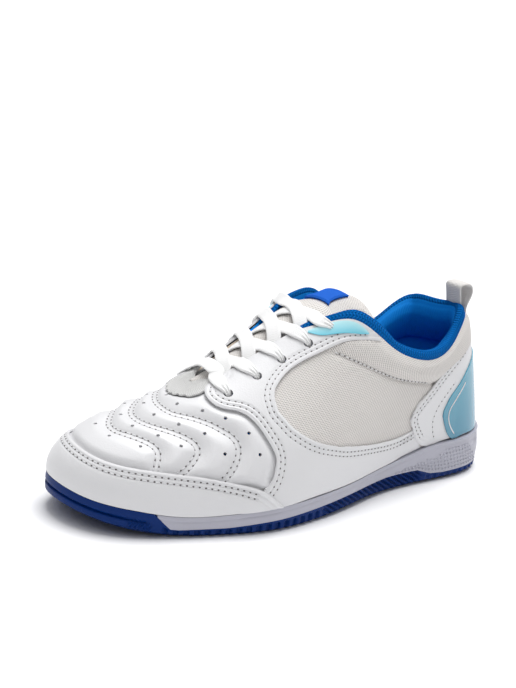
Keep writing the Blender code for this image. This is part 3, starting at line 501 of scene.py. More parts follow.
def ground_height(points):
    """Height of the tread: flat under heel and ball, raised at the toe and in the arch."""
    along = points[:, 0] / LENGTH
    toe = np.clip((along - TOE_SPRING_START) / (1 - TOE_SPRING_START), 0, 1) ** 2 * TOE_SPRING
    middle = np.sin(np.pi * np.clip((along - ARCH_START) / (ARCH_END - ARCH_START), 0, 1)) ** 2
    inner = np.clip(0.5 - points[:, 1] / BALL_WIDTH, 0.25, 1)
    return toe + middle * inner * ARCH_RISE


def surface(clock, rise):
    """Outer surface of the upper."""
    clock = np.asarray(clock, float)
    rise = np.broadcast_to(np.asarray(rise, float), clock.shape)
    rear = np.abs((clock + 180) % 360 - 180)
    tuck = np.clip((HEEL_TUCK_START - rear) / (HEEL_TUCK_START - HEEL_TUCK_FULL), 0, 1)
    foot, outward = outline(clock, FEATHER_INSET + HEEL_TUCK * tuck)
    base = np.column_stack([foot, feather_height(clock) + GAP])
    edge = topline_curve(clock) * np.array([LENGTH, BALL_WIDTH, INSTEP_HEIGHT])
    curve = wall_curve(clock) * INSTEP_HEIGHT
    towards = unit(base[:, :2] - edge[:, :2])
    lower = base + np.column_stack([outward * curve[:, [0]], curve[:, 1]])
    upper = edge + np.column_stack([towards * curve[:, [2]], curve[:, 3]])
    t = rise[:, None]
    return (base * (1 - t) ** 3 + 3 * lower * t * (1 - t) ** 2
            + 3 * upper * t ** 2 * (1 - t) + edge * t ** 3)


def slopes(clock, rise):
    """How the surface moves per degree of clock and per unit of rise."""
    around = surface(clock + 0.5, rise) - surface(clock - 0.5, rise)
    upwards = (surface(clock, rise + 0.01) - surface(clock, rise - 0.01)) / 0.02
    return around, upwards


def skin(clock, rise, lift):
    """The upper's surface moved outwards by lift, and the outward directions there."""
    clock = np.asarray(clock, float)
    rise = np.broadcast_to(np.asarray(rise, float), clock.shape)
    lift = np.broadcast_to(np.asarray(lift, float), clock.shape)
    around, upwards = slopes(clock, rise)
    normal = unit(np.cross(upwards, around))
    return surface(clock, rise) + normal * lift[:, None], normal


def rib_length(clock):
    """Length of the wall from sole to edge."""
    points = np.array([surface(clock, share) for share in np.linspace(0, 1, 13)])
    return np.linalg.norm(np.diff(points, axis=0), axis=2).sum(axis=0)


def find_shift():
    """Step from the shoe's own layout, with its heel near zero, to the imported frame."""
    clock = np.arange(0, 360, 6)
    points = np.concatenate([surface(clock, rise) for rise in np.linspace(0, 1, 9)])
    low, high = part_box("upper")
    middle = (points.min(axis=0) + points.max(axis=0)) / 2
    step = (np.array(low) + np.array(high)) / 2 - middle
    return np.array([step[0], step[1], 0.0])


SHIFT = find_shift()


def upper_chart(clock, rise):
    """Flat chart of the upper in metres: the way round the foot and the way up the wall."""
    stations = np.linspace(-90, 450, 217)
    lengths = lengths_along(surface(stations, 0.6))
    ribs = rib_length(stations)
    around = np.interp(clock, stations, lengths)
    return np.column_stack([around, np.interp(clock, stations, ribs) * rise])


def run_on_upper(places, step, sideways=0.0, lift=0.0, mirrored=False):
    """Even points along a path of places on the upper, moved sideways to the left of its run.

    Returns points, run directions, outward directions, clocks and rises."""
    table = np.array(places, float)
    if mirrored:
        table[:, 0] = 360 - table[:, 0]
        sideways = -sideways
    far = lengths_along(surface(table[:, 0], table[:, 1]))
    path = spline(np.column_stack([far, table]))(np.linspace(0, far[-1], 40 * len(table)))
    clock, rise = path[:, 0], path[:, 1]
    if sideways:
        points, normal = skin(clock, rise, 0)
        left = unit(np.cross(normal, unit(np.gradient(points, axis=0)))) * sideways
        around, upwards = slopes(clock, rise)
        round_round = (around * around).sum(axis=1)
        up_up = (upwards * upwards).sum(axis=1)
        round_up = (around * upwards).sum(axis=1)
        left_round = (left * around).sum(axis=1)
        left_up = (left * upwards).sum(axis=1)
        area = round_round * up_up - round_up * round_up
        clock = clock + (left_round * up_up - left_up * round_up) / area
        rise = rise + (left_up * round_round - left_round * round_up) / area
    points, normal = skin(clock, rise, lift(clock) if callable(lift) else lift)
    length = lengths_along(points)
    count = max(int(round(length[-1] / step)), 2)
    even = (np.arange(count) + 0.5) * length[-1] / count
    clock, rise = np.interp(even, length, clock), np.interp(even, length, rise)
    points, normal = skin(clock, rise, lift(clock) if callable(lift) else lift)
    return points, unit(np.gradient(points, axis=0)), normal, clock, rise


def distance_to(points, line):
    """Shortest distance of each point to a line of close points."""
    nearest = np.full(len(points), np.inf)
    for start in range(0, len(points), 4000):
        part = points[start:start + 4000]
        gaps = np.linalg.norm(part[:, None, :] - line[None, :, :], axis=2)
        nearest[start:start + 4000] = gaps.min(axis=1)
    return nearest


def dent(distance, place, width, depth):
    """Soft groove at a distance from an edge."""
    return -depth * np.exp(-((distance - place) / width) ** 2)


def ease(value):
    """Smooth step from 0 to 1."""
    value = np.clip(value, 0, 1)
    return value * value * (3 - 2 * value)


def within(clock, zone):
    """1 inside a zone on either side of the foot and 0 outside it, with soft ends."""
    first, last, fade_in, fade_out = zone
    around = fold(clock)
    return ease((around - first) / fade_in) * ease((last - around) / fade_out)


def ridges(run, shape):
    """Ridges and valleys from 1 to -1 along a run of lengths."""
    pitch, flatness = shape
    return np.clip(np.sin(run * 2 * np.pi / pitch) * flatness, -1, 1)


# Finishes by name, filled by make_materials
MATERIALS = {}


# Work on meshes

def select_only(piece):
    bpy.ops.object.select_all(action="DESELECT")
    piece.select_set(True)
    bpy.context.view_layer.objects.active = piece


def edit(piece, *steps):
    """Run steps of (operator, settings) on the whole mesh in edit mode."""
    select_only(piece)
    bpy.ops.object.mode_set(mode="EDIT")
    bpy.ops.mesh.select_all(action="SELECT")
    for operator, settings in steps:
        operator(**settings)
    bpy.ops.object.mode_set(mode="OBJECT")


def modify(piece, kind, **settings):
    """Add a modifier and apply it."""
    select_only(piece)
    modifier = piece.modifiers.new(kind.title(), kind)
    for name, value in settings.items():
        setattr(modifier, name, value)
    bpy.ops.object.modifier_apply(modifier=modifier.name)


def read_points(piece):
    """Places of a mesh's vertices."""
    flat = np.empty(len(piece.data.vertices) * 3)
    piece.data.vertices.foreach_get("co", flat)
    return flat.reshape(-1, 3)


def lay_points(piece, points):
    piece.data.vertices.foreach_set("co", np.asarray(points, float).ravel())
    piece.data.update()


def add(operator, **settings):
    """Add an object with nothing else selected, and return it."""
    bpy.ops.object.select_all(action="DESELECT")
    operator(**settings)
    return bpy.context.object


def loop_corners(piece):
    """Vertex of each corner of each face."""
    corners = np.empty(len(piece.data.loops), int)
    piece.data.loops.foreach_get("vertex_index", corners)
    return corners


def grid_piece(name, columns, rows, place, chart=None):
    """Add a grid and lay it by place(u, v), which gives points and outward directions."""
    piece = add(bpy.ops.mesh.primitive_grid_add, x_subdivisions=columns, y_subdivisions=rows,
                size=1)
    piece.name = piece.data.name = name
    flat = read_points(piece)
    u, v = flat[:, 0] + 0.5, flat[:, 1] + 0.5
    points, outward = place(u, v)
    lay_points(piece, points + SHIFT)
    corners = loop_corners(piece)
    if chart is not None:
        piece.data.uv_layers.active.data.foreach_set("uv", chart(u, v)[corners].ravel())
    normals = np.empty(len(piece.data.polygons) * 3)
    piece.data.polygons.foreach_get("normal", normals)
    starts = np.empty(len(piece.data.polygons), int)
    piece.data.polygons.foreach_get("loop_start", starts)
    facing = (normals.reshape(-1, 3) * outward[corners[starts]]).sum()
    if facing < 0:
        edit(piece, (bpy.ops.mesh.flip_normals, {}))
    return piece


def weld(piece, distance=2e-6):
    edit(piece, (bpy.ops.mesh.remove_doubles, {"threshold": distance}),
         (bpy.ops.mesh.normals_make_consistent, {"inside": False}))


def join(name, pieces):
    """Join pieces into one object."""
    select_only(pieces[0])
    for piece in pieces[1:]:
        piece.select_set(True)
    bpy.ops.object.join()
    joined = bpy.context.object
    joined.name = joined.data.name = name
    return joined


def finish_piece(piece, finishes, nodes=()):
    """Give a piece its finishes by name and its body, and hide the solids that it stands for."""
    zones = np.empty(len(piece.data.polygons), np.int32)
    piece.data.polygons.foreach_get("material_index", zones)
    piece.data.materials.clear()
    for name in finishes:
        piece.data.materials.append(MATERIALS[name])
    piece.data.polygons.foreach_set("material_index", zones if len(finishes) > 1 else zones * 0)
    select_only(piece)
    bpy.ops.object.shade_smooth_by_angle(angle=MAX_SHADE_ANGLE)
    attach(piece, BODY)
    if nodes:
        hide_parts(*nodes)
    return piece


def sweep(name, points, sideways, widths, walls, folds, sections):
    """Flat band along points. Folds is the height of the pleats across it at each point."""
    points, sideways = np.asarray(points), unit(np.asarray(sideways))
    count = len(points)
    tangent = unit(np.gradient(points, axis=0))
    normal = unit(np.cross(tangent, sideways))
    sideways = unit(np.cross(normal, tangent))
    far = lengths_along(points)

    def place(u, v):
        i = np.clip(np.rint(u * (count - 1)).astype(int), 0, count - 1)
        turn = v * 2 * math.pi
        flat, high = np.cos(turn), np.sin(turn)
        across = np.sign(flat) * np.abs(flat) ** 0.55
        up = np.sign(high) * np.abs(high) ** 0.75
        pleat = np.cos(across * math.pi * 2.5) * folds[i]
        reach = across * widths[i] / 2
        height = up * walls[i] / 2 + pleat * (1 - np.abs(across) ** 4)
        end = np.where((i == 0) | (i == count - 1), 0.0, 1.0)
        offset = sideways[i] * reach[:, None] + normal[i] * height[:, None]
        spot = points[i] + offset * end[:, None]
        return spot, sideways[i] * across[:, None] + normal[i] * up[:, None]

    def chart(u, v):
        i = np.clip(np.rint(u * (count - 1)).astype(int), 0, count - 1)
        return np.column_stack([np.abs(((v * 2) % 2) - 1) * widths.max(), far[i]])

    piece = grid_piece(name, count - 1, sections, place, chart)
    weld(piece)
    return piece


def repeat(name, template, frames, finishes):
    """Copy a small template to each (origin, forward, outward), as one mesh, and drop it."""
    corners = read_points(template)
    faces = [tuple(face.vertices) for face in template.data.polygons]
    origins, forwards, outwards = (np.concatenate(part) for part in zip(*frames))
    sidewards = unit(np.cross(outwards, forwards))
    placed = (origins[:, None, :] + corners[None, :, [0]] * forwards[:, None, :]
              + corners[None, :, [1]] * sidewards[:, None, :]
              + corners[None, :, [2]] * outwards[:, None, :])
    size = len(corners)
    all_faces = [tuple(corner + copy * size for corner in face)
                 for copy in range(len(origins)) for face in faces]
    mesh = bpy.data.meshes.new(name)
    mesh.from_pydata((placed.reshape(-1, 3) + SHIFT).tolist(), [], all_faces)
    bpy.data.objects.remove(template)
    piece = bpy.data.objects.new(name, mesh)
    bpy.context.collection.objects.link(piece)
    return finish_piece(piece, finishes)


def bead(length, width, height, rings=5):
    """Small round bead, lying along X."""
    piece = add(bpy.ops.mesh.primitive_uv_sphere_add, segments=8, ring_count=rings, radius=0.5)
    edit(piece, (bpy.ops.transform.rotate, {
        "value": math.pi / 2, "orient_axis": "Y", "center_override": (0, 0, 0)}))
    edit(piece, (bpy.ops.transform.resize, {"value": (length, width, height)}))
    return piece


# Materials

def add_node(material, kind, inputs=(), **settings):
    """Add a shader node, set what it says, and set or link its inputs."""
    made = material.node_tree.nodes.new("ShaderNode" + kind)
    for name, value in settings.items():
        setattr(made, name, value)
    for name, value in dict(inputs).items():
        if isinstance(value, bpy.types.NodeSocket):
            material.node_tree.links.new(value, made.inputs[name])
        else:
            made.inputs[name].default_value = value
    return made


def new_material(name, colour, roughness, **constants):
    """Material with plain values on the shader's own sockets."""
    material = bpy.data.materials.new(name)
    material.use_nodes = True
    shader = material.node_tree.nodes["Principled BSDF"]
    shader.inputs["Base Color"].default_value = (*colour, 1)
    shader.inputs["Roughness"].default_value = roughness
    for socket, value in constants.items():
        shader.inputs[socket.replace("_", " ")].default_value = value
    material.diffuse_color = (*colour, 1)
    return material, shader


def link(material, output, socket):
    material.node_tree.links.new(output, socket)


def object_place(material):
    return add_node(material, "TexCoord").outputs["Object"]


def chart_place(material, angle=0.0, scale=(1, 1, 1)):
    """The piece's own chart in metres, turned and scaled."""
    chart = add_node(material, "TexCoord").outputs["UV"]
    turned = add_node(material, "Mapping", {
        "Vector": chart, "Rotation": (0, 0, angle), "Scale": scale})
    return turned.outputs["Vector"]


def maths(material, operation, first, second=0.0):
    made = add_node(material, "Math", operation=operation)
    for socket, value in zip(made.inputs, (first, second)):
        if isinstance(value, bpy.types.NodeSocket):
            link(material, value, socket)
        else:
            socket.default_value = value
    return made.outputs[0]


def tint(material, factor, low, high):
    """Colour between two by a factor."""
    made = add_node(material, "Mix", data_type="RGBA")
    link(material, factor, made.inputs[0])
    made.inputs[6].default_value = (*low, 1)
    made.inputs[7].default_value = (*high, 1)
    return made.outputs[2]


def darker(colour, share):
    return tuple(part * share for part in colour)


def bump(material, shader, height, strength, distance):
    made = add_node(material, "Bump", {
        "Strength": strength, "Distance": distance, "Height": height})
    link(material, made.outputs["Normal"], shader.inputs["Normal"])


def leather_material(name, colour, roughness=0.42):
    """Smooth coated leather with a fine pore grain and soft wrinkles."""
    material, shader = new_material(name, colour, roughness, Coat_Weight=0.04, Coat_Roughness=0.4)
    place = object_place(material)
    pores = add_node(material, "TexVoronoi", {"Vector": place, "Scale": 1300.0})
    broad = add_node(material, "TexNoise", {"Vector": place, "Scale": 55.0, "Detail": 3.0})
    shade = add_node(material, "TexNoise", {"Vector": place, "Scale": 22.0, "Detail": 2.0})
    height = maths(material, "ADD", maths(material, "MULTIPLY", pores.outputs["Distance"], 0.35),
                   maths(material, "MULTIPLY", broad.outputs["Fac"], 1.3))
    bump(material, shader, height, 0.22, 0.0006)
    link(material, tint(material, shade.outputs["Fac"], darker(colour, 0.965), colour),
         shader.inputs["Base Color"])
    gloss = add_node(material, "MapRange", {
        "Value": broad.outputs["Fac"], "To Min": roughness - 0.05, "To Max": roughness + 0.07})
    link(material, gloss.outputs[0], shader.inputs["Roughness"])
    return material


def mesh_material(name, colour, angle=0.0, pitch=0.0014):
    """Fine mesh cloth: staggered small holes between round threads, the holes painted darker as
    painted shade.
    """
    material, shader = new_material(name, colour, 0.85, Sheen_Weight=0.15)
    place = chart_place(material, angle, (1 / pitch, 1 / pitch, 1))
    holes = add_node(material, "TexBrick", {
        "Vector": place, "Color1": (0, 0, 0, 1), "Color2": (0, 0, 0, 1), "Mortar": (1, 1, 1, 1),
        "Scale": 1.0, "Mortar Size": 0.28, "Mortar Smooth": 1.0, "Brick Width": 1.0,
        "Row Height": 0.62}, offset=0.5, offset_frequency=2)
    threads = add_node(material, "TexNoise", {"Vector": place, "Scale": 0.6, "Detail": 4.0})
    body = tint(material, threads.outputs["Fac"], darker(colour, 0.93), colour)
    # Painted shade: the holes are painted darker, as the shade seen through the openings of the
    # mesh.
    made = add_node(material, "Mix", data_type="RGBA")
    link(material, holes.outputs["Color"], made.inputs[0])
    made.inputs[6].default_value = (*darker(colour, 0.55), 1)
    link(material, body, made.inputs[7])
    link(material, made.outputs[2], shader.inputs["Base Color"])
    bump(material, shader, holes.outputs["Color"], 0.7, 0.0003)
    return material


def knit_material(name, colour, pitch=0.0018, depth=0.0006):
    """Ribbed knit: rows of small slanted loops, painted darker where the loops dip as painted
    shade.
    """
    material, shader = new_material(name, colour, 0.8, Specular_IOR_Level=0.05)
    place = chart_place(material)
    parts = add_node(material, "SeparateXYZ", {"Vector": place})
    row = maths(material, "PINGPONG", maths(material, "MULTIPLY", parts.outputs[1], 1 / pitch), 1.0)
    slant = maths(material, "ADD", maths(material, "MULTIPLY", parts.outputs[0], 1 / pitch),
                  maths(material, "MULTIPLY", row, 0.55))
    loops = maths(material, "SINE", maths(material, "MULTIPLY", slant, 2 * math.pi))
    level = maths(material, "MULTIPLY_ADD", loops, 0.5)
    material.node_tree.nodes[-1].inputs[2].default_value = 0.5
    valley = maths(material, "POWER", maths(material, "ABSOLUTE", maths(
        material, "SUBTRACT", row, 0.5)), 0.8)
    height = maths(material, "SUBTRACT", level, valley)
    # Painted shade: the low parts of the loops are painted darker, down to 0.6 of the colour.
    link(material, tint(material, level, darker(colour, 0.6), colour), shader.inputs["Base Color"])
    bump(material, shader, height, 0.9, depth)
    return material


def cloth_material(name, colour, pitch, roughness=0.85, weave_dip_shade=0.85, depth=0.0002):
    """Plain woven cloth, painted darker where the weave dips as painted shade."""
    material, shader = new_material(name, colour, roughness, Specular_IOR_Level=0.15)
    place = chart_place(material, 0.0, (1 / pitch, 1 / pitch, 1))
    parts = add_node(material, "SeparateXYZ", {"Vector": place})
    warp = maths(material, "SINE", maths(material, "MULTIPLY", parts.outputs[0], 2 * math.pi))
    weft = maths(material, "SINE", maths(material, "MULTIPLY", parts.outputs[1], 2 * math.pi))
    weave = maths(material, "MULTIPLY", warp, weft)
    level = maths(material, "MULTIPLY_ADD", weave, 0.5)
    material.node_tree.nodes[-1].inputs[2].default_value = 0.5
    # Painted shade: the weave's low points are painted darker by the share given.
    link(material, tint(material, level, darker(colour, weave_dip_shade), colour),
         shader.inputs["Base Color"])
    bump(material, shader, level, 0.5, depth)
    return material


def moulded_material(name, colour, roughness, grain, depth, shine=0.4):
    """Moulded rubber or foam with a fine speckle and uneven gloss."""
    material, shader = new_material(name, colour, roughness, Specular_IOR_Level=shine)
    place = object_place(material)
    fine = add_node(material, "TexNoise", {"Vector": place, "Scale": grain, "Detail": 3.0})
    broad = add_node(material, "TexNoise", {"Vector": place, "Scale": 35.0, "Detail": 2.0})
    link(material, tint(material, broad.outputs["Fac"], darker(colour, 0.88), colour),
         shader.inputs["Base Color"])
    gloss = add_node(material, "MapRange", {
        "Value": broad.outputs["Fac"], "To Min": roughness - 0.08, "To Max": roughness + 0.08})
    link(material, gloss.outputs[0], shader.inputs["Roughness"])
    bump(material, shader, fine.outputs["Fac"], 0.4, depth)
    return material


def film_material(name, low, high):
    """Thin glossy film that fades from one colour to another up its chart."""
    material, shader = new_material(name, low, 0.25, Coat_Weight=0.4, Coat_Roughness=0.15)
    parts = add_node(material, "SeparateXYZ", {"Vector": chart_place(material)})
    grain = add_node(material, "TexNoise", {
        "Vector": object_place(material), "Scale": 900.0, "Detail": 2.0})
    link(material, tint(material, parts.outputs[1], low, high), shader.inputs["Base Color"])
    bump(material, shader, grain.outputs["Fac"], 0.15, 0.0002)
    return material


def make_materials():
    """All finishes of the shoe, by name."""
    shades = colours()
    MATERIALS.update(
        leather=leather_material("white_leather", shades.leather),
        mesh=mesh_material("beige_mesh", shades.mesh, math.radians(4)),
        white_mesh=mesh_material("white_mesh", WHITE_MESH, math.radians(90), 0.0011),
        collar_mesh=mesh_material("collar_mesh", shades.mesh, math.radians(-52)),
        rubber=moulded_material("blue_rubber", shades.rubber, 0.42, 1600.0, 0.00015, 0.12),
        foam=moulded_material("white_foam", shades.foam, 0.42, 900.0, 0.0001),
        knit=knit_material("blue_knit", shades.knit),
        lining=cloth_material("blue_lining", shades.lining, 0.0011, 0.7, 0.9),
        insole=cloth_material("insole_cloth", SHADED_INSOLE_BLUE, 0.0016, 0.9, 0.8),
        label=cloth_material("blue_label", LABEL_BLUE, 0.0009, 0.7, 0.9),
        film=film_material("cyan_film", shades.film, PALE_FILM),
        heel_film=film_material("heel_film", shades.heel_film, PALE_HEEL_FILM),
        lace=cloth_material("white_lace", shades.lace, 0.0010, 0.9, 0.9, 0.00025),
        webbing=cloth_material("beige_webbing", shades.webbing, 0.0014, 0.85, 0.8, 0.0004),
        thread=cloth_material("white_thread", shades.leather, 0.0006, 0.7, 0.95),
        tan=cloth_material("tan_lining", TAN, 0.0012, 0.9, 0.85),
        needle=moulded_material("needle_shade", shades.needle, 0.8, 900.0, 0.0001))


# Sole

def heel_share(clock):
    return np.maximum(np.cos(np.radians(clock)), 0) ** 4


def outsole_rows(clock):
    """Side of the rubber from the tread's edge to the inside of the pan: inset, height."""
    bottom_inset = BOTTOM_INSET + HEEL_INSET * heel_share(clock)
    ground = ground_height(outline(clock, bottom_inset)[0])
    band = band_height(clock)
    side = ground + np.minimum(TREAD_THICKNESS, band - ground) * 0.6
    floor = ground_height(outline(clock, RAND_WALL + GAP)[0]) + TREAD_THICKNESS
    depth = sizes().tread_depth
    border = 0.0026
    rows = [
        (bottom_inset + border + 0.0004, ground + depth), (bottom_inset + border, ground),
        (bottom_inset, ground)]
    arc = np.interp(clock, np.linspace(0, 360, 361), outline_arc())
    teeth = ridges(arc, TEETH)
    toe, toe_corner = within(clock, RAND_ZONE), within(clock, RAND_CORNER_ZONE)
    forefoot, waist = within(clock, FOREFOOT_ZONE), within(clock, WAIST_ZONE)
    heel = within(clock, HEEL_ZONE)
    for level in np.linspace(0, 1, 15):
        height = side + (band - side) * level
        groove = ground + (band - ground) * 0.56
        inset = GAP + dent(height, groove, 0.00055, -0.0014) * toe
        inset = inset - 0.0003 * np.sin(np.pi * level) * toe
        lines = ridges(arc + height * 0.8, CORNER_LINES)
        inset = inset + 0.0003 * (1 + lines) * toe_corner * ease((groove - height) / 0.0012)
        inset = inset + 0.0008 * (1 + teeth) * forefoot * (1 - ease((level - 0.50) / 0.25))
        ribs = ridges(np.where(clock < 180, arc, -arc) - height * 1.7, WAIST_RIBS)
        inset = inset + 0.0008 * (1 + ribs) * waist * (1 - ease((level - 0.86) / 0.12))
        inset = inset + 0.0003 * (1 + teeth) * heel * (1 - ease((level - 0.5) / 0.4))
        rows.append((inset, height))
    rows.append((RAND_WALL, band))
    rows.append((RAND_WALL + GAP, np.minimum(floor, band - GAP)))
    return rows


def outline_arc():
    """Distance round the sole at each degree of clock."""
    return lengths_along(outline(np.linspace(0, 360, 361), 0)[0])


def wall_round(name, stations, rows):
    """Closed wall round the sole from rows of (inset, height)."""
    clock = np.linspace(0, 360, stations + 1)
    rings = []
    for inset, height in rows(clock):
        points, outward = outline(clock, inset)
        level = np.zeros(len(points))
        rings.append((np.column_stack([points, height]), np.column_stack([outward, level])))
    spots = np.array([ring[0] for ring in rings])
    facing = np.array([ring[1] for ring in rings])
    count = len(rings) - 1

    def place(u, v):
        i, j = np.rint(v * count).astype(int), np.rint(u * stations).astype(int)
        return spots[i, j], facing[i, j]

    return grid_piece(name, stations, count, place), spots


def cap(name, ring, rungs, height):
    """Close a ring of points across the sole with a grid, level with it or at heights given."""
    size = len(ring) - 1
    half = size // 2

    def place(u, v):
        j = np.rint(u * half).astype(int)
        first, second = ring[j], ring[size - j]
        spot = first + (second - first) * v[:, None]
        if height is not None:
            inside = np.sin(np.pi * v) > 0.01
            spot[:, 2] = np.where(inside, height(spot[:, :2]), spot[:, 2])
        return spot, np.tile([0.0, 0.0, -1.0], (len(u), 1))

    return grid_piece(name, half, rungs, place)


def inside_outline(points, inset):
    """True for points that lie inside the sole's outline moved inwards."""
    return inside_polygon(points, outline(np.arange(0, 360, 1.0), inset)[0])


def inside_polygon(points, corners):
    """True for points that lie inside a ring of corners."""
    x, y = points[:, [0]], points[:, [1]]
    x1, y1 = corners[:, 0][None], corners[:, 1][None]
    x2, y2 = np.roll(corners[:, 0], -1)[None], np.roll(corners[:, 1], -1)[None]
    crosses = (y1 > y) != (y2 > y)
    reach = (x2 - x1) * (y - y1) / np.where(y2 == y1, 1e-12, y2 - y1) + x1
    return (crosses & (x < reach)).sum(axis=1) % 2 == 1


def tread_bars():
    """Zigzag bars over the tread, clear of the pivot ring, the heel oval and the shank."""
    pitch, depth = sizes().tread_pitch, sizes().tread_depth
    width = pitch * BAR_SHARE
    across = np.arange(-0.054, 0.0561, ZIGZAG_PERIOD / 16)
    zigzag = np.abs((across / ZIGZAG_PERIOD) % 1 - 0.5) * 4 * ZIGZAG_SWING - ZIGZAG_SWING
    shank = np.array(SHANK) * (LENGTH, BALL_WIDTH)
    shank = shank.mean(axis=0) + (shank - shank.mean(axis=0)) * SHANK_CLEARANCE
    pivot = np.array(PIVOT_PLACE) * (LENGTH, BALL_WIDTH)
    oval = np.array(HEEL_OVAL_PLACE) * (LENGTH, BALL_WIDTH)
    vertices, faces = [], []
    for along in np.arange(-0.012, LENGTH + 0.012, pitch):
        line = np.column_stack([along + zigzag, across])
        keep = inside_outline(line, BOTTOM_INSET + EDGE_CLEARANCE)
        keep &= np.linalg.norm(line - pivot, axis=1) > PIVOT_RADIUS + RING_CLEARANCE
        from_oval = np.linalg.norm((line - oval) / (HEEL_OVAL_STRETCH, 1), axis=1)
        keep &= from_oval > HEEL_OVAL_RADIUS + OVAL_CLEARANCE
        keep &= ~inside_polygon(line, shank)
        runs = np.split(np.arange(len(line)), np.where(np.diff(keep.astype(int)) != 0)[0] + 1)
        for run in runs:
            if not keep[run[0]] or len(run) < 3:
                continue
            spots = line[run]
            ground = ground_height(spots)
            start = len(vertices)
            for (x, y), level in zip(spots, ground):
                for step, high in ((-1, 0), (1, 0), (1, 1), (-1, 1)):
                    vertices.append((x + step * width / 2, y, level + high * (depth + GAP)))
            last = len(spots) - 1
            for i in range(last):
                near = start + i * 4
                for corner in range(4):
                    following = (corner + 1) % 4
                    faces.append((near + corner, near + following,
                                  near + 4 + following, near + 4 + corner))
            faces.append((start + 3, start + 2, start + 1, start))
            faces.append(tuple(start + last * 4 + corner for corner in range(4)))
    mesh = bpy.data.meshes.new("tread_bars")
    mesh.from_pydata((np.array(vertices) + SHIFT).tolist(), [], faces)
    piece = bpy.data.objects.new("tread_bars", mesh)
    bpy.context.collection.objects.link(piece)
    edit(piece, (bpy.ops.mesh.normals_make_consistent, {"inside": False}))
    return piece


def tread_ring(place, radius, stretch, wall):
    """Raised ring on the tread."""
    centre = np.array(place) * (LENGTH, BALL_WIDTH)
    level = ground_height(centre[None])[0]
    depth = sizes().tread_depth + GAP

    def lay(u, v):
        turn = u * 2 * math.pi
        corner = np.rint(v * 4).astype(int) % 4
        reach = radius + wall / 2 * np.array([-1, 1, 1, -1])[corner]
        high = np.array([0, 0, 1, 1])[corner] * depth
        x = centre[0] + reach * stretch * np.cos(turn)
        y = centre[1] + reach * np.sin(turn)
        return np.column_stack([x, y, level + high]), np.column_stack([
            np.cos(turn), np.sin(turn), high - depth / 2])

    piece = grid_piece("tread_ring", 72, 4, lay)
    weld(piece)
    return piece


def tread_disc(place, radius, stretch):
    """Smooth raised disc inside a ring of the tread."""
    centre = np.array(place) * (LENGTH, BALL_WIDTH)
    level = ground_height(centre[None])[0]
    depth = sizes().tread_depth
    piece = add(bpy.ops.mesh.primitive_cylinder_add, vertices=72, radius=radius, depth=depth)
    edit(piece, (bpy.ops.transform.resize, {"value": (stretch, 1, 1)}),
         (bpy.ops.transform.translate, {
             "value": tuple(np.array([*centre, level + depth / 2 + GAP]) + SHIFT)}))
    return piece


def make_outsole():
    side, spots = wall_round("outsole_side", SOLE_STATIONS, outsole_rows)
    depth = sizes().tread_depth
    bottom = cap("outsole_bottom", spots[0], 30, lambda flat: ground_height(flat) + depth)
    top = cap("outsole_pan", spots[-1], 12, None)
    shell = join("outsole_shell", [side, bottom, top])
    weld(shell)
    parts = [shell, tread_bars(),
             tread_ring(PIVOT_PLACE, PIVOT_RADIUS, 1.0, 0.0022),
             tread_disc(PIVOT_PLACE, PIVOT_RADIUS - 0.0042, 1.0),
             tread_ring(HEEL_OVAL_PLACE, HEEL_OVAL_RADIUS, HEEL_OVAL_STRETCH, 0.0018),
             tread_disc(HEEL_OVAL_PLACE, HEEL_OVAL_RADIUS - 0.003, HEEL_OVAL_STRETCH)]
    sole = join("rubber_sole", parts)
    finish_piece(sole, ["rubber"], ["outsole"])


def midsole_rows(clock):
    """Side, lip and bed of the midsole: inset, height."""
    inner = RAND_WALL + 2 * GAP
    floor = ground_height(outline(clock, inner)[0]) + TREAD_THICKNESS + GAP
    feather = feather_height(clock)
    band = band_height(clock)
    rand = ease((band - feather + 0.0010) / 0.0005)
    shelf = np.minimum(band - GAP / 3, feather - GAP)
    rows = [(inner + GAP, np.minimum(floor, shelf - GAP)), (inner + GAP / 2, shelf)]
    arc = np.interp(clock, np.linspace(0, 360, 361), outline_arc())
    heel = heel_share(clock)
    back = ease((26 - clock) / 10) + ease((clock - 334) / 10)
    for level in np.linspace(0, 1, 17):
        height = shelf + (feather - shelf) * level
        bulge = np.sin(np.pi * np.clip(level * 1.05, 0, 1)) * (0.0003 + HEEL_BULGE * heel)
        bulge = bulge - 0.0012 * back * level ** 2
        lip = dent(np.full(len(clock), (1 - level)) * (feather - shelf), 0.0022, 0.0005, 0.0003)
        slant = np.where(clock < 180, arc, arc.max() - arc) * 0.16
        ribs = 0.00035 * (1 + ridges(height + slant, HEEL_PAD_RIBS)) * back
        ribs = ribs * ease((level - 0.45) / 0.1) * ease((0.9 - level) / 0.1)
        inset = GAP - bulge - lip + ribs
        rows.append((inset * (1 - rand) + inner * rand, height))
    rim = FEATHER_INSET + UPPER_WALL + RIM_WIDTH / 2
    return rows + [(3 * GAP, feather), (rim, feather), (rim + GAP, feather - FOOTBED_DEPTH)]


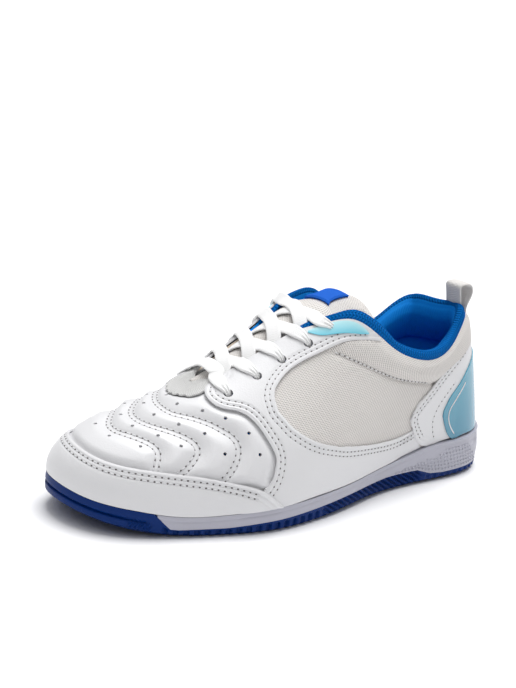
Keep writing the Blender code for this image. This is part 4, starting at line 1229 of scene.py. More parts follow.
def make_midsole():
    side, spots = wall_round("midsole_side", 720, midsole_rows)
    bottom = cap("midsole_bottom", spots[0], 8, None)
    bed = cap("midsole_bed", spots[-1], 8, None)
    foam = join("foam_midsole", [side, bottom, bed])
    weld(foam)
    finish_piece(foam, ["foam"], ["midsole"])
    dots = []
    arc = outline_arc()
    for mirrored in (False, True):
        for row in range(DOT_ROWS):
            share = 0.12 + row * 0.13
            first, last = np.interp((17 + row * 1.2, 56 - row * 4.5), range(361), arc)
            reach = np.arange(first, last, DOT_PITCH)
            clock = np.interp(reach + (row % 2) * DOT_PITCH / 2, arc, range(361))
            clock = 360 - clock if mirrored else clock
            feather, shelf = feather_height(clock), band_height(clock)
            spot, outward = outline(clock, GAP - 0.0005 - HEEL_BULGE * heel_share(clock) * 0.9)
            level = shelf + (feather - shelf) * share
            origin = np.column_stack([spot, level])
            facing = np.column_stack([outward, np.zeros(len(outward))])
            forward = unit(np.cross([0, 0, 1.0], facing))
            dots.append((origin, forward, facing))
    repeat("heel_pad_dots", bead(DOT_SIZE, DOT_SIZE, 0.0006), dots, ["foam"])


def make_insole():
    """Sock liner: a soft dish with a raised rim and a heel cup."""
    edge = FEATHER_INSET + UPPER_WALL + RIM_WIDTH / 2 + 3 * GAP

    def rows(clock):
        bed = feather_height(clock) - FOOTBED_DEPTH + GAP
        return [(edge + inset, bed + INSOLE_WALL * share)
                for inset, share in ((0, 0.0), (0, 0.35), (0, 0.7), (0.0005, 0.92), (0.0014, 1.0),
                                     (0.0045, 0.86), (0.009, 0.72))]

    side, spots = wall_round("insole_side", 240, rows)
    bottom = cap("insole_bottom", spots[0], 6, None)
    top = cap("insole_top", spots[-1], 12, None)
    liner = join("sock_liner", [side, bottom, top])
    weld(liner)
    select_only(liner)
    flat = read_points(liner)[loop_corners(liner)][:, :2]
    liner.data.uv_layers.active.data.foreach_set("uv", flat.ravel())
    finish_piece(liner, ["insole"], ["insole"])


# Upper

def guard_edge(first, last):
    """Places along the upper edge of the toe guard."""
    return [(clock, upper) for clock, _, upper in MUDGUARD_EDGES[first:last]]


def saddle_edge(first, last, outer):
    """Places along the window edge or the outer edge of the saddle."""
    column = 2 if outer else 0
    return [row[column:column + 2] for row in SADDLE[first:last]]


def seam_rise(around):
    """Rise of the seam between the two meshes at a clock of the outer side."""
    table = np.array(MESH_SEAM)[::-1]
    return np.interp(around, table[:, 0], table[:, 1])


def dense(places, mirrored=False):
    """Close points along a path of places on the upper."""
    return run_on_upper(places, 0.001, mirrored=mirrored)[0]


def quilt_lift(clock, rise):
    """How far the padded vamp stands off the shoe's surface."""
    points = surface(clock, rise)
    size = sizes()
    distance = np.full(len(points), 0.02)
    for channel in CHANNELS:
        distance = np.minimum(distance, distance_to(points, dense(channel)))
    edges = np.full(len(points), 0.02)
    for mirrored in (False, True):
        edges = np.minimum(edges, distance_to(points, dense(saddle_edge(5, 15, True), mirrored)))
    edges = np.minimum(edges, distance_to(points, dense(guard_edge(0, 15))))
    edges = np.minimum(edges, distance_to(points, dense(PATCH_EDGE)))
    half = size.channel_gap / 2
    swell = ease((distance - half * 0.6) / 0.0070) ** 0.75 * ease((edges + 0.0005) / 0.0050)
    lift = size.puff * (swell - 0.38)
    patch = np.interp(clock, *np.array(PATCH_EDGE).T)
    lift = np.where(rise > patch, np.minimum(lift, -0.0006), lift)
    stay = np.array(saddle_edge(4, 16, True))[::-1]
    covered = fold(clock) < np.interp(rise, stay[:, 1], stay[:, 0]) - 0.6
    lift = np.where(covered, np.minimum(lift, -0.0002), lift)
    lift = lift + dent(distance, half, 0.0006, 0.00035)
    lift = lift - 0.00012 * (distance < half)
    front = ease((clock - 106) / 6) * ease((254 - clock) / 6)
    return lift * front


def collar_pad_lift(clock, rise):
    """Padding of the mesh between the seam of the quarter and the collar's edge."""
    around = fold(clock)
    beyond = (rise - seam_rise(around)) * 0.06
    zone = ease((101 - around) / 5)
    puffed = ease(beyond / 0.007) * ease((0.075 - np.abs(beyond)) / 0.01) * 0.0019
    groove = dent(beyond, 0.0, 0.0011, 0.0009)
    tail = np.array(saddle_edge(0, 4, False))
    cover = np.interp(around, tail[:, 0], tail[:, 1], left=2.0)
    zone = zone * ease((cover + 0.004 - rise) / 0.012)
    return (puffed * ease((1.02 - rise) / 0.10) + groove) * zone


def make_upper():
    """Shell of the upper with its wall, air holes and eyelets."""
    shares, clocks = zip(*UPPER_COLUMNS)

    def spots(u, v):
        return np.interp(u, shares, clocks), v

    def place(u, v):
        clock, rise = spots(u, v)
        lift = np.zeros(len(u))
        vamp = (clock > VAMP_START) & (clock < 360 - VAMP_START)
        lift[vamp] = quilt_lift(clock[vamp], rise[vamp])
        lift[~vamp] = collar_pad_lift(clock[~vamp], rise[~vamp])
        return skin(clock, rise, lift)

    def chart(u, v):
        return upper_chart(*spots(u, v))

    upper = grid_piece("upper_shell", *UPPER_GRID, place, chart)
    mark_zones(upper)
    weld(upper)
    modify(upper, "SOLIDIFY", thickness=UPPER_WALL, offset=-1, material_offset=3,
           material_offset_rim=3)
    cutters = [drill(clock, rise, sizes().air_hole, AIR_HOLE_REACH) for clock, rise in AIR_HOLES]
    cutters += eyelet_drills(False, 16) + eyelet_drills(True, 16)
    cut_with(upper, cutters)
    finish_piece(upper, UPPER_FINISHES, ["upper"])


def mark_zones(upper):
    """Leather on the vamp, mesh on the quarters and another mesh run round the collar."""
    columns, rows = UPPER_GRID
    order = np.arange(columns * rows)
    shares, clocks = zip(*UPPER_COLUMNS)
    around = fold(np.interp(((order % columns) + 0.5) / columns, shares, clocks))
    rise = ((order // columns) + 0.5) / rows
    front = np.interp(rise, (0, 0.29, 0.39, 0.47, 0.52, 1), (104, 106.5, 110, 114.2, 116, 116))
    cloth = np.where(rise > seam_rise(around), COLLAR_ZONE, MESH_ZONE)
    zone = np.where(around > front, LEATHER_ZONE, cloth)
    upper.data.materials.clear()
    for name in UPPER_FINISHES:
        upper.data.materials.append(MATERIALS[name])
    upper.data.polygons.foreach_set("material_index", zone.astype(np.int32))
    upper.data.update()


def drill(clock, rise, radius, reach, sides=16):
    """Cylinder through the upper at a place, to cut a hole with."""
    top, base = skin([clock, clock], rise, reach)[0]
    axis = Vector(top - base)
    return add(bpy.ops.mesh.primitive_cylinder_add, vertices=sides, radius=radius,
               depth=axis.length, location=(top + base) / 2 + SHIFT,
               rotation=axis.to_track_quat("Z", "Y").to_euler())


def eyelet_drills(mirrored, sides):
    """Cylinders for the eyelets of one side."""
    return [drill(360 - clock if mirrored else clock, rise, EYELET_CUT, EYELET_CUT_REACH, sides)
            for clock, rise, _ in EYELETS]


def cut_with(piece, cutters):
    """Cut joined cutters out of a piece and remove them."""
    cutter = join("cutter", cutters)
    select_only(cutter)
    bpy.ops.object.transform_apply(location=True, rotation=True, scale=True)
    modify(piece, "BOOLEAN", operation="DIFFERENCE", solver="EXACT", object=cutter)
    bpy.data.objects.remove(cutter)


def seam_dents(points, lines, places):
    """Grooves where seams pull a layer down, at set distances from its edges."""
    lift = np.zeros(len(points))
    for line in lines:
        distance = distance_to(points, line)
        lift += sum(dent(distance, place, 0.0006, 0.00028) for place in places)
        lift += dent(distance, 0.0, 0.0007, 0.0002)
        lift += dent(distance, places[0] / 2, 0.0006, -0.00018)
    return lift


def layer_piece(name, columns, rows, clocks, base, wall, lines, places, chart=None):
    """Layer on the upper: its outer face, its wall and its rounded edges.

    Base is the height of its underside, the same all over or found from the clock."""
    def place(u, v):
        clock, rise = clocks(u, v)
        lift = (base(clock) if callable(base) else np.full(len(clock), base)) + wall
        if lines:
            lift = lift + seam_dents(surface(clock, rise), lines, places)
        return skin(clock, rise, lift)

    piece = grid_piece(name, columns, rows, place, chart)
    modify(piece, "SOLIDIFY", thickness=wall, offset=-1, use_even_offset=False)
    modify(piece, "BEVEL", width=wall * 0.38, segments=3, limit_method="ANGLE",
           angle_limit=MAX_FLAT_ANGLE, use_clamp_overlap=True)
    return piece


def edge_rows(table, mirrored=False):
    """Clocks and rises over a table of (clock, lower rise, upper rise)."""
    curve = spline(table)

    def clocks(u, v):
        clock = table[0][0] + (table[-1][0] - table[0][0]) * u
        low, high = np.maximum(curve(clock), 0.004).T
        rise = low + (high - low) * v
        return (360 - clock if mirrored else clock), rise

    return clocks


def guard_base(clock):
    """Height of the toe guard, which lies over the foot of the saddles at its two ends."""
    return LAYER_GAP + 0.0010 * (ease((121 - clock) / 5) + ease((clock - 239) / 5))


def make_mudguard():
    """Toe guard, with the grooves of its double seam."""
    top = dense(guard_edge(0, 15))
    rows = (SEAM_INSET, SEAM_INSET + sizes().row_gap)
    piece = layer_piece("toe_guard", 370, 42, edge_rows(MUDGUARD_EDGES), guard_base,
                        OVERLAY_WALL, [top], rows)
    finish_piece(piece, ["leather"], ["mudguard"])


def saddle_clocks(mirrored):
    """Clocks and rises over the saddle, from its window edge to its outer edge."""
    path = spline([(row, *values) for row, values in enumerate(SADDLE)])

    def clocks(u, v):
        ends = path(u * (len(SADDLE) - 1))
        clock = ends[:, 0] + (ends[:, 2] - ends[:, 0]) * v
        rise = ends[:, 1] + (ends[:, 3] - ends[:, 1]) * v
        return (360 - clock if mirrored else clock), rise

    return clocks


def make_saddle(side):
    """Saddle and eyestay of one side, round its mesh window."""
    mirrored = side == "medial"
    lines = [dense(saddle_edge(0, 22, False), mirrored), dense(saddle_edge(4, 16, True), mirrored)]
    rows = (SADDLE_SEAM_INSET, SADDLE_SEAM_INSET + sizes().row_gap)

    def base(clock):
        """Sinks under the heel counter at its rear end."""
        return LAYER_GAP - 0.0007 * ease((59 - fold(clock)) / 6)

    piece = layer_piece(f"eyestay_{side}", 384, 40, saddle_clocks(mirrored), base,
                        OVERLAY_WALL, lines, rows)
    cut_with(piece, eyelet_drills(mirrored, 24))
    finish_piece(piece, ["leather"], [f"saddle_{side}"])


def counter_front():
    """Slanted front edge of the heel counter, from the collar down to the sole."""
    upper = [(row[0], row[2]) for row in COUNTER_EDGES[7:15]]
    lower = [(row[0], row[1]) for row in COUNTER_EDGES[13:9:-1]]
    return upper + lower


def unit_chart(u, v):
    """Chart of a film from 0 to 1 both ways, for its fade."""
    return np.column_stack([u, v])


def make_counter():
    """Heel counter with its film and the two white lines on the film."""
    lines = [dense(counter_front(), mirrored) for mirrored in (False, True)]
    piece = layer_piece("heel_cup", 294, 54, edge_rows(COUNTER_EDGES), LAYER_GAP,
                        OVERLAY_WALL, lines, (SEAM_INSET, SEAM_INSET + sizes().row_gap))
    finish_piece(piece, ["leather"], ["heel_counter"])
    panel = layer_piece("heel_film", 130, 32, edge_rows(PANEL_EDGES), FILM_BASE, PANEL_WALL,
                        [], (), unit_chart)
    finish_piece(panel, ["heel_film"], ["heel_panel"])
    for mirrored in (False, True):
        points, _, normal, _, _ = run_on_upper(
            PANEL_LINE, 0.0012, lift=FILM_BASE + PANEL_WALL + 0.0001, mirrored=mirrored)
        tangent = unit(np.gradient(points, axis=0))
        count = len(points)
        side = "medial" if mirrored else "lateral"
        line = sweep(f"heel_line_{side}", points, np.cross(normal, tangent),
                     np.full(count, 0.0008), np.full(count, 0.0003), np.zeros(count), 8)
        finish_piece(line, ["leather"])


def make_inserts():
    """Film drops beside the top eyelets."""
    for side in ("lateral", "medial"):
        piece = layer_piece(f"insert_{side}", 60, 12, edge_rows(INSERT_EDGES, side == "medial"),
                            FILM_BASE, PANEL_WALL, [], (), unit_chart)
        finish_piece(piece, ["film"], [f"eyelet_insert_{side}"])


def make_throat_patch():
    """Mesh patch at the foot of the throat, sewn down in scallops."""
    edge = spline(PATCH_EDGE)

    def clocks(u, v):
        clock = 139 + 83 * u
        low = edge(clock)[:, 0] - 0.010 * np.abs(np.sin(u * math.pi * 9))
        return clock, low + (1.07 - low) * v

    piece = layer_piece("throat_patch", 130, 18, clocks, 0.0001, 0.0010, [], (),
                        lambda u, v: upper_chart(*clocks(u, v)))
    finish_piece(piece, ["white_mesh"])


# Collar, tongue, laces and loop

def make_collar():
    """Padded knit round the collar and the lining behind it."""
    last = LINING_FULLNESS[-1][0]
    fullness = spline(LINING_FULLNESS)
    rows = [(i, *values) for i, values in enumerate(LINING_PROFILE)]
    profile = spline(rows, len(rows))
    count = 48
    ring = profile(np.linspace(0, len(rows), count + 1))
    far = lengths_along(ring[:, :2] * LINING_WALL)
    run = lengths_along(surface(np.linspace(-last, last, 241), 1.0))

    def place(u, v):
        clock = -last + 2 * last * u
        values = ring[np.rint(v * count).astype(int)]
        full = fullness(np.abs(clock))[:, 0] * LINING_WALL
        inward, height, behind = values[:, 0], values[:, 1], np.clip(values[:, 2], 0, 1)
        lift = -behind * (UPPER_WALL + GAP) - inward * full
        length = rib_length(clock)
        below = np.minimum(height, 0) * LINING_DEPTH / length
        points, normal = skin(clock, 1 + below, lift)
        up = unit(surface(clock, 1.0) - surface(clock, 0.97))
        start, grow, stop, shrink = COLLAR_FRONT
        front = ease((np.abs(clock) - start) / grow) * ease((stop - np.abs(clock)) / shrink)
        crest = LINING_RISE * (full / LINING_WALL + COLLAR_FRONT_SHARE * front)
        above = np.maximum(height, 0) * crest + GAP * np.clip(1 - behind, 0, 1)
        middle = np.clip(height + 0.1, -1, 1)
        outward = normal * (0.4 - inward)[:, None] + up * middle[:, None]
        closed = (u < 1e-4) | (u > 1 - 1e-4)
        centre = skin(clock, 1 - 0.12, -UPPER_WALL - full / 2)[0]
        spots = points + up * above[:, None]
        spots = np.where(closed[:, None], centre, spots)
        return spots, outward

    def chart(u, v):
        return np.column_stack([np.interp(u, np.linspace(0, 1, 241), run),
                                far[np.rint(v * count).astype(int)]])

    columns = 360
    piece = grid_piece("padded_collar", columns, count, place, chart)
    order = np.arange(len(piece.data.polygons))
    across = ((order // columns) + 0.5) / count * len(LINING_PROFILE)
    lined = (across > 3.3) & (across < 8)
    finishes = ("knit", "lining")
    for name in finishes:
        piece.data.materials.append(MATERIALS[name])
    piece.data.polygons.foreach_set("material_index", lined.astype(np.int32))
    weld(piece)
    finish_piece(piece, finishes, ["collar_lining"])


def throat_clock(along, side):
    """Clock at which the throat's edge lies at a distance along the shoe."""
    clock = np.linspace(96, 176, 161) if side == "lateral" else np.linspace(264, 184, 161)
    place = topline_curve(clock)[:, 0]
    return np.interp(along, place, clock)


def tongue_rows():
    """Five points across the tongue at each place along it, from the toe to the top."""
    rows = []
    under = -(UPPER_WALL + TONGUE_GAP)
    for along, tuck in TONGUE_TUCKED:
        points = []
        for side in ("medial", "lateral"):
            clock = throat_clock(along, side)
            length = rib_length(np.array([clock]))[0]
            edge = skin([clock], 1.0, under)[0][0]
            tucked = skin([clock], 1 - tuck * TONGUE_TUCK / length, under)[0][0]
            points.append((edge, tucked))
        row = [points[0][1], points[0][0], None, points[1][0], points[1][1]]
        row[2] = (row[1] + row[3]) / 2 + np.array([0, 0, TONGUE_CROWN])
        rows.append((along, row))
    for along, half, middle, edge in TONGUE_TOP:
        x, y = along * LENGTH, half * BALL_WIDTH
        top, low = middle * INSTEP_HEIGHT, edge * INSTEP_HEIGHT
        shoulder = top - (top - low) * 0.28
        levels = (low, shoulder, top, shoulder, low)
        rows.append((along, [np.array((x, place * y, level))
                             for place, level in zip(TONGUE_PLACES, levels)]))
    return rows


def tongue_sheet():
    """Return a function for the tongue's upper surface: along, across from -1 to 1."""
    rows = sorted(tongue_rows(), key=lambda row: row[0])
    rails = [spline([(along, *row[k]) for along, row in rows]) for k in range(5)]

    def at(along, across):
        along = np.atleast_1d(np.asarray(along, float))
        across = np.broadcast_to(np.asarray(across, float), along.shape)
        levels = np.unique(np.round(along, 7))
        points = np.empty((len(along), 3))
        for level in levels:
            here = np.abs(along - level) < 6e-8
            knots = [rail(level)[0] for rail in rails]
            curve = spline([(place, *knot) for place, knot in zip(TONGUE_PLACES, knots)])
            points[here] = curve(across[here])
        return points

    return at


def sheet_normal(sheet, along, across):
    """Upward directions of the tongue's surface."""
    along = np.round(np.atleast_1d(np.asarray(along, float)), 7)
    across = np.broadcast_to(np.asarray(across, float), along.shape)
    forward = sheet(along + 0.004, across) - sheet(along - 0.004, across)
    sideways = sheet(along, across + 0.02) - sheet(along, across - 0.02)
    normal = unit(np.cross(forward, sideways))
    return normal * np.sign(normal[:, [2]])


def make_tongue(sheet):
    first, last = TONGUE_TUCKED[0][0], TONGUE_TOP[-1][0]
    columns, rows = 120, 56

    def spots(u, v):
        return np.round(first + (last - first) * np.rint(u * columns) / columns, 7), v * 2 - 1

    def place(u, v):
        along, across = spots(u, v)
        normal = sheet_normal(sheet, along, across)
        far = (first - along) * LENGTH
        border = np.minimum((1 - np.abs(across)) * 0.020, (along - last) * LENGTH)
        pad = 0.0009 * ease(border / 0.006) + dent(border, 0.0030, 0.0008, 0.0007)
        pad = pad * ease((far - 0.052) / 0.01)
        return sheet(along, across) + normal * pad[:, None], normal

    def chart(u, v):
        along, across = spots(u, v)
        return np.column_stack([along * LENGTH, across * 0.022])

    piece = grid_piece("padded_tongue", columns, rows, place, chart)
    modify(piece, "SOLIDIFY", thickness=TONGUE_WALL, offset=-1)
    modify(piece, "BEVEL", width=0.0011, segments=3, limit_method="ANGLE",
           angle_limit=MAX_FLAT_ANGLE)
    finish_piece(piece, ["mesh"], ["tongue"])


def make_label(sheet):
    """Bare padded label on the tongue."""
    columns, rows = 24, 32

    def place(u, v):
        along = np.round(0.452 - 0.054 * np.rint(u * columns) / columns, 7)
        across = (v - 0.5) * 0.78 - 0.10
        normal = sheet_normal(sheet, along, across)
        border = np.minimum(np.minimum(u, 1 - u) * 0.012, np.minimum(v, 1 - v) * 0.020)
        lift = 0.0022 + 0.0008 * ease(border / 0.0012) - 0.0004 * ease((border - 0.0014) / 0.0006)
        return sheet(along, across) + normal * lift[:, None], normal

    piece = grid_piece("tongue_tag", columns, rows, place,
                       lambda u, v: np.column_stack([u * 0.012, v * 0.020]))
    modify(piece, "SOLIDIFY", thickness=0.0022, offset=-1)
    modify(piece, "BEVEL", width=0.0003, segments=2, limit_method="ANGLE",
           angle_limit=MAX_FLAT_ANGLE)
    finish_piece(piece, ["label"], ["tongue_label"])


def smooth_route(points, sideways, count):
    """Even points on a smooth curve through a route, with its side directions."""
    points, sideways = np.array(points), np.array(sideways)
    far = lengths_along(points)
    curve = spline(np.column_stack([far, points, sideways]))
    even = curve(np.linspace(0, far[-1], count))
    return even[:, :3], unit(even[:, 3:]), np.linspace(0, far[-1], count)


def over_stay(eyelet, side, from_along):
    """Route from the throat's edge straight over the eyestay and down into an eyelet."""
    clock, rise, _ = EYELETS[eyelet]
    edge = throat_clock(from_along, side)
    hole = clock if side == "lateral" else 360 - clock
    steps = ((0.0, 0.0024), (0.30, 0.0023), (0.60, 0.0022), (0.84, 0.0019), (0.97, 0.0008),
             (1.0, -0.0012), (1.0, -0.0036))
    route = []
    for share, lift in steps:
        where = edge + (hole - edge) * share
        spot, normal = skin([where], 1 + (rise - 1) * share, lift)
        route.append((spot[0], normal[0]))
    return route


def over_tongue(sheet, first, last, lift):
    """Route across the tongue between two (along, across) places, lying on it."""
    route = []
    for share in (0.0, 0.2, 0.4, 0.6, 0.8, 1.0):
        along = np.round(first[0] + (last[0] - first[0]) * share, 7)
        across = first[1] + (last[1] - first[1]) * share
        normal = sheet_normal(sheet, along, across)
        high = np.interp(share, (0, 0.5, 1), (0.0009, 0.0012 + lift, 0.0030))
        route.append((sheet(along, across)[0] + normal[0] * high, normal[0]))
    return route


def lace_pass(name, sheet, eyelet, side, above):
    """One pass of the lace: from under the far edge, over the tongue and into an eyelet."""
    sign = 1 if side == "lateral" else -1
    start, end = EYELETS[eyelet - 1][2] + 0.004, EYELETS[eyelet][2]
    step = end - start
    lift = sizes().lace_wall + 0.0002 if above else 0.0
    far, edge = (0.80, 1.0) if above else (0.66, 0.76)
    route = over_tongue(sheet, (start - step * 0.10, -0.70 * sign),
                        (start + step * far, 0.34 * sign), lift)
    route += over_stay(eyelet, side, start + step * edge)
    return lace_band(name, route, True, False)


def lace_band(name, route, puckered_end, puckered_start):
    """Flat lace along a route of points and outward directions, pleated where it enters a hole."""
    size = sizes()
    points = np.array([spot for spot, _ in route])
    outward = np.array([normal for _, normal in route])
    for _ in range(3):
        outward[1:-1] = unit(outward[:-2] + outward[1:-1] * 2 + outward[2:])
    tangent = unit(np.gradient(points, axis=0))
    sideways = unit(np.cross(outward, tangent))
    if puckered_end:
        sideways[-3:] = sideways[-4]
    if puckered_start:
        sideways[:3] = sideways[3]
    spots, sideways, far = smooth_route(points, sideways, 90)
    to_end = far[-1] - far if puckered_end else np.full(len(far), 1.0)
    to_start = far if puckered_start else np.full(len(far), 1.0)
    hole = np.minimum(to_end, to_start)
    tight = 1 - ease((hole - 0.0030) / 0.0105)
    widths = size.lace_width * (1 - 0.63 * tight)
    walls = size.lace_wall * (1 + 0.7 * tight)
    folds = 0.00050 * tight + 0.00005
    return sweep(name, spots, sideways, widths, walls, folds, 40)


def make_laces(sheet):
    """The first straight bar of the lace and its four crossings."""
    along = EYELETS[0][2] + 0.004
    bar = over_stay(0, "lateral", along)[::-1]
    for across in (0.32, 0.16, 0.0, -0.16, -0.32):
        normal = sheet_normal(sheet, along, across)
        lift = np.interp(abs(across), (0, 0.32), (0.0040, 0.0048))
        bar.append((sheet(along, across)[0] + normal[0] * lift, normal[0]))
    bar += over_stay(0, "medial", along)
    piece = lace_band("lace_first_bar", bar, True, True)
    finish_piece(piece, ["lace"], ["lace_bar"])
    for eyelet in range(1, len(EYELETS)):
        below = lace_pass(f"lace_below_{eyelet}", sheet, eyelet, "lateral", False)
        above = lace_pass(f"lace_above_{eyelet}", sheet, eyelet, "medial", True)
        crossing = join(f"lace_crossing_{eyelet}", [below, above])
        finish_piece(crossing, ["lace"], [f"lace_cross_{eyelet}"])


def make_pull_loop():
    """Webbing loop over the back of the collar."""
    foot = skin([0, 0, 0, 0], [0.78, 0.84, 0.92, 0.99], [0.0006, 0.0009, 0.0010, 0.0010])[0]
    edge = surface([0.0], 1.0)[0]
    top = edge[2] + LOOP_HEIGHT
    outside = foot[-1][0] - 0.0030
    inside = outside + 0.0100
    route = list(foot) + [
        np.array([outside, 0, top - 0.0046]), np.array([outside + 0.0012, 0, top - 0.0010]),
        np.array([(outside + inside) / 2, 0, top]), np.array([inside - 0.0008, 0, top - 0.0012]),
        np.array([inside - 0.0012, 0, top - 0.0046]),
        np.array([edge[0] + 0.0036, 0, edge[2] + 0.0042]),
        np.array([edge[0] + 0.0018, 0, edge[2] - 0.0020])]
    sideways = np.tile([0.0, 1.0, 0.0], (len(route), 1))
    spots, sideways, _ = smooth_route(route, sideways, 90)
    count = len(spots)
    piece = sweep("webbing_loop", spots, sideways, np.full(count, LOOP_WIDTH),
                  np.full(count, 0.0015), np.full(count, 0.00008), 36)
    finish_piece(piece, ["webbing"], ["pull_loop"])


# Stitching

def seam(places, inset, lift, mirrored):
    """Frames of the stitches along a seam, and of the needle holes between them."""
    points, tangent, normal, _, _ = run_on_upper(
        places, sizes().stitch_pitch, inset, lift, mirrored)
    holes = (points[1:] + points[:-1]) / 2
    return (points, tangent, normal), (holes, unit(tangent[1:] + tangent[:-1]),
                                       unit(normal[1:] + normal[:-1]))


def make_stitching():
    """All seams of the upper as two joined meshes: threads, and dark beads painted as the shade in
    the needle holes.
    """
    size = sizes()
    on_layer = LAYER_GAP + OVERLAY_WALL - 0.00022
    threads, holes = [], []

    def sew(places, inset, lift, mirrored=False):
        thread, hole = seam(places, inset, lift, mirrored)
        threads.append(thread)
        holes.append(hole)

    guard = guard_edge(1, 14)
    for inset in (SEAM_INSET, SEAM_INSET + size.row_gap):
        sew(guard, inset, lambda clock: guard_base(clock) + OVERLAY_WALL - 0.0001)
    for mirrored in (False, True):
        for inset in (SADDLE_SEAM_INSET, SADDLE_SEAM_INSET + size.row_gap):
            sew([(87.5, 0.928)] + saddle_edge(1, 22, False), -inset, on_layer, mirrored)
            sew(saddle_edge(5, 16, True), inset, on_layer, mirrored)
            sew(counter_front()[:-1], inset - 0.0002, on_layer, mirrored)
        for first, last in zip(EYELETS[:-1], EYELETS[1:]):
            middle = (first[0] + last[0]) / 2
            for rise in (0.975, 0.945):
                sew([(middle + 2.2, rise), (middle, rise), (middle - 2.2, rise)], 0.0, on_layer,
                    mirrored)
        sew(MESH_SEAM[1:-1], 0.0004, -0.0004, mirrored)
        front = [(39, 0.03), (41, 0.14), (42, 0.26), (40.5, 0.36), (36, 0.45), (31.5, 0.52)]
        sew(front, 0.0, on_layer + 0.0002, mirrored)
    for channel in CHANNELS:
        for inset in (-size.channel_gap / 2, size.channel_gap / 2):
            sew(channel, inset, -size.puff * 0.38 - 0.00012)
    patch = [(clock, rise + 0.012) for clock, rise in PATCH_EDGE]
    sew(patch[1:-1], 0.0, 0.0008)
    repeat("seam_threads", bead(size.stitch_length, size.stitch_width, 0.0005), threads,
           ["thread"])
    # Painted shade: dark beads at the needle holes stand for the shade inside them.
    repeat("needle_hole_shade", bead(size.needle_hole * 2.6, size.needle_hole * 2, 0.00046, 4), holes,
           ["needle"])


# Stage

def make_studio():
    """Plain pale floor, soft light and a camera at the photograph's angle."""
    settings = bpy.context.scene.shoe_studio
    floor = add(bpy.ops.mesh.primitive_grid_add, x_subdivisions=4, y_subdivisions=4,
                size=2 * settings.floor_half, location=(0, 0, -0.0002))
    floor.name = "studio_floor"
    material, shader = new_material("studio_floor", FLOOR_WHITE, 0.65)
    shader.inputs["Specular IOR Level"].default_value = 0.2
    floor.data.materials.append(material)

    middle = Vector((LENGTH / 2, 0, settings.target_height)) + Vector(SHIFT)
    bpy.ops.object.light_add(type="SUN", location=middle + Vector(KEY_DIRECTION))
    key = bpy.context.object
    key.name = "key_light"
    key.data.angle = KEY_ANGLE
    key.data.energy = settings.key_strength
    key.rotation_euler = Vector(KEY_DIRECTION).to_track_quat("Z", "Y").to_euler()
    make_sky(settings.sky_low, settings.sky_high)

    direction = Vector((math.cos(settings.azimuth) * math.cos(settings.elevation),
                        math.sin(settings.azimuth) * math.cos(settings.elevation),
                        math.sin(settings.elevation)))
    forward = -direction
    right = forward.cross(Vector((0, 0, 1))).normalized()
    up = right.cross(forward)
    forward = (forward + right * settings.yaw + up * settings.pitch).normalized()
    right = forward.cross(Vector((0, 0, 1))).normalized()
    up = right.cross(forward)
    cosine, sine = math.cos(settings.roll), math.sin(settings.roll)
    rolled_right = right * cosine + up * sine
    rolled_up = up * cosine - right * sine
    bpy.ops.object.camera_add()
    camera = bpy.context.object
    camera.name = "photo_camera"
    turn = Matrix((rolled_right, rolled_up, -forward)).transposed()
    camera.matrix_world = Matrix.Translation(middle + direction * settings.distance) @ turn.to_4x4()
    camera.data.lens = settings.lens
    camera.data.clip_start = 0.01
    bpy.context.scene.camera = camera
    bpy.context.scene.view_settings.view_transform = "Standard"


def make_sky(low, high):
    """Soft light that grows from the horizon to overhead, with a bright rim at the horizon."""
    world = bpy.data.worlds.new("studio_sky")
    bpy.context.scene.world = world
    world.use_nodes = True
    nodes, links = world.node_tree.nodes, world.node_tree.links
    background = nodes["Background"]
    direction = nodes.new("ShaderNodeTexCoord")
    parts = nodes.new("ShaderNodeSeparateXYZ")
    ramp = nodes.new("ShaderNodeValToRGB")
    links.new(direction.outputs["Generated"], parts.inputs["Vector"])
    links.new(parts.outputs["Z"], ramp.inputs["Fac"])
    links.new(ramp.outputs["Color"], background.inputs["Color"])
    ramp.color_ramp.interpolation = "EASE"
    levels = [(0.0, HORIZON_GLOW), (0.035, HORIZON_GLOW), (0.10, low), (0.35, low),
              (0.95, high)]
    while len(ramp.color_ramp.elements) < len(levels):
        ramp.color_ramp.elements.new(0.5)
    for element, (place, level) in zip(ramp.color_ramp.elements, levels):
        element.position = place
        element.color = (level, level, level, 1)


# Operators, one for each piece or group of like pieces

class SHOE_OT_materials(bpy.types.Operator):
    """Make the finishes."""
    bl_idname = "shoe.materials"
    bl_label = "Materials"

    def execute(self, context):
        make_materials()
        return {"FINISHED"}


class SHOE_OT_outsole(bpy.types.Operator):
    """Make the rubber sole with its tread."""
    bl_idname = "shoe.outsole"
    bl_label = "Outsole"

    def execute(self, context):
        make_outsole()
        return {"FINISHED"}


class SHOE_OT_midsole(bpy.types.Operator):
    """Make the foam midsole with its dotted heel pad."""
    bl_idname = "shoe.midsole"
    bl_label = "Midsole"

    def execute(self, context):
        make_midsole()
        return {"FINISHED"}


class SHOE_OT_insole(bpy.types.Operator):
    """Make the sock liner inside the shoe."""
    bl_idname = "shoe.insole"
    bl_label = "Insole"

    def execute(self, context):
        make_insole()
        return {"FINISHED"}


class SHOE_OT_upper(bpy.types.Operator):
    """Make the quilted vamp, the mesh quarters and their lining."""
    bl_idname = "shoe.upper"
    bl_label = "Upper"

    def execute(self, context):
        make_upper()
        return {"FINISHED"}


class SHOE_OT_overlays(bpy.types.Operator):
    """Make the toe guard and the eyestays."""
    bl_idname = "shoe.overlays"
    bl_label = "Overlays"

    def execute(self, context):
        make_mudguard()
        make_saddle("lateral")
        make_saddle("medial")
        return {"FINISHED"}


class SHOE_OT_heel(bpy.types.Operator):
    """Make the counter, the heel film and the eyelet inserts."""
    bl_idname = "shoe.heel"
    bl_label = "Heel"

    def execute(self, context):
        make_counter()
        make_inserts()
        return {"FINISHED"}


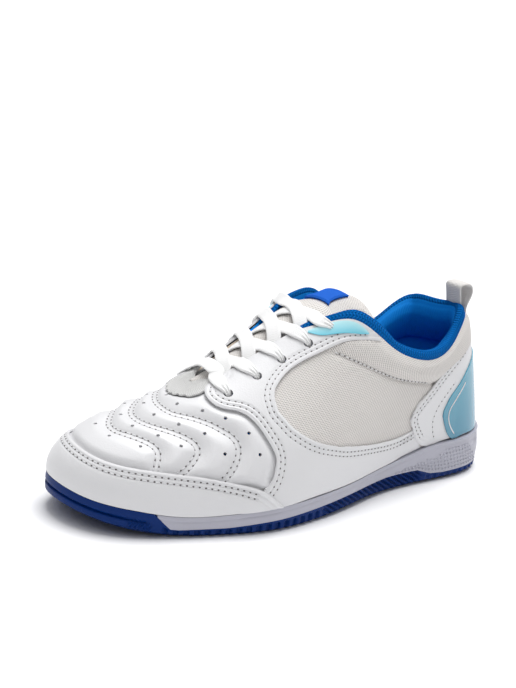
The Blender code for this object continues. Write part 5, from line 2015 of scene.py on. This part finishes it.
class SHOE_OT_patch(bpy.types.Operator):
    """Make the mesh at the foot of the throat."""
    bl_idname = "shoe.patch"
    bl_label = "Throat patch"

    def execute(self, context):
        make_throat_patch()
        return {"FINISHED"}


class SHOE_OT_collar(bpy.types.Operator):
    """Make the padded knit collar."""
    bl_idname = "shoe.collar"
    bl_label = "Collar"

    def execute(self, context):
        make_collar()
        return {"FINISHED"}


class SHOE_OT_tongue(bpy.types.Operator):
    """Make the padded tongue and its bare label."""
    bl_idname = "shoe.tongue"
    bl_label = "Tongue"

    def execute(self, context):
        sheet = tongue_sheet()
        make_tongue(sheet)
        make_label(sheet)
        return {"FINISHED"}


class SHOE_OT_laces(bpy.types.Operator):
    """Make the flat lace through the eyelets."""
    bl_idname = "shoe.laces"
    bl_label = "Laces"

    def execute(self, context):
        make_laces(tongue_sheet())
        return {"FINISHED"}


class SHOE_OT_pull_loop(bpy.types.Operator):
    """Make the webbing loop at the heel."""
    bl_idname = "shoe.pull_loop"
    bl_label = "Pull loop"

    def execute(self, context):
        make_pull_loop()
        return {"FINISHED"}


class SHOE_OT_stitching(bpy.types.Operator):
    """Make the threads and the needle holes."""
    bl_idname = "shoe.stitching"
    bl_label = "Stitching"

    def execute(self, context):
        make_stitching()
        return {"FINISHED"}


class SHOE_OT_studio(bpy.types.Operator):
    """Make the floor, the light and the camera."""
    bl_idname = "shoe.studio"
    bl_label = "Studio"

    def execute(self, context):
        make_studio()
        return {"FINISHED"}


STEPS = [
    SHOE_OT_materials, SHOE_OT_outsole, SHOE_OT_midsole, SHOE_OT_insole, SHOE_OT_upper,
    SHOE_OT_overlays, SHOE_OT_heel, SHOE_OT_patch, SHOE_OT_collar, SHOE_OT_tongue,
    SHOE_OT_laces, SHOE_OT_pull_loop, SHOE_OT_stitching, SHOE_OT_studio]


class SHOE_PT_panel(bpy.types.Panel):
    """Sidebar panel that lists the steps."""

    bl_idname = "SHOE_PT_panel"
    bl_label = "Indoor soccer shoe"
    bl_space_type = "VIEW_3D"
    bl_region_type = "UI"
    bl_category = "Shoe"

    def draw(self, context):
        for step in STEPS:
            self.layout.operator(step.bl_idname)
        for group in (context.scene.shoe_sizes, context.scene.shoe_colours,
                      context.scene.shoe_studio):
            box = self.layout.box()
            for name in group.__annotations__:
                box.prop(group, name)


CLASSES = [ShoeSizes, ShoeColours, ShoeStudio, *STEPS, SHOE_PT_panel]


def register():
    for item in CLASSES:
        bpy.utils.register_class(item)
    bpy.types.Scene.shoe_sizes = PointerProperty(type=ShoeSizes)
    bpy.types.Scene.shoe_colours = PointerProperty(type=ShoeColours)
    bpy.types.Scene.shoe_studio = PointerProperty(type=ShoeStudio)


def unregister():
    del bpy.types.Scene.shoe_studio
    del bpy.types.Scene.shoe_colours
    del bpy.types.Scene.shoe_sizes
    for item in reversed(CLASSES):
        bpy.utils.unregister_class(item)


def main():
    """Build the shoe step by step."""
    register()
    bpy.ops.shoe.materials()
    bpy.ops.shoe.outsole()
    bpy.ops.shoe.midsole()
    bpy.ops.shoe.insole()
    bpy.ops.shoe.upper()
    bpy.ops.shoe.overlays()
    bpy.ops.shoe.heel()
    bpy.ops.shoe.patch()
    bpy.ops.shoe.collar()
    bpy.ops.shoe.tongue()
    bpy.ops.shoe.laces()
    bpy.ops.shoe.pull_loop()
    bpy.ops.shoe.stitching()
    bpy.ops.shoe.studio()


if __name__ == "__main__":
    main()
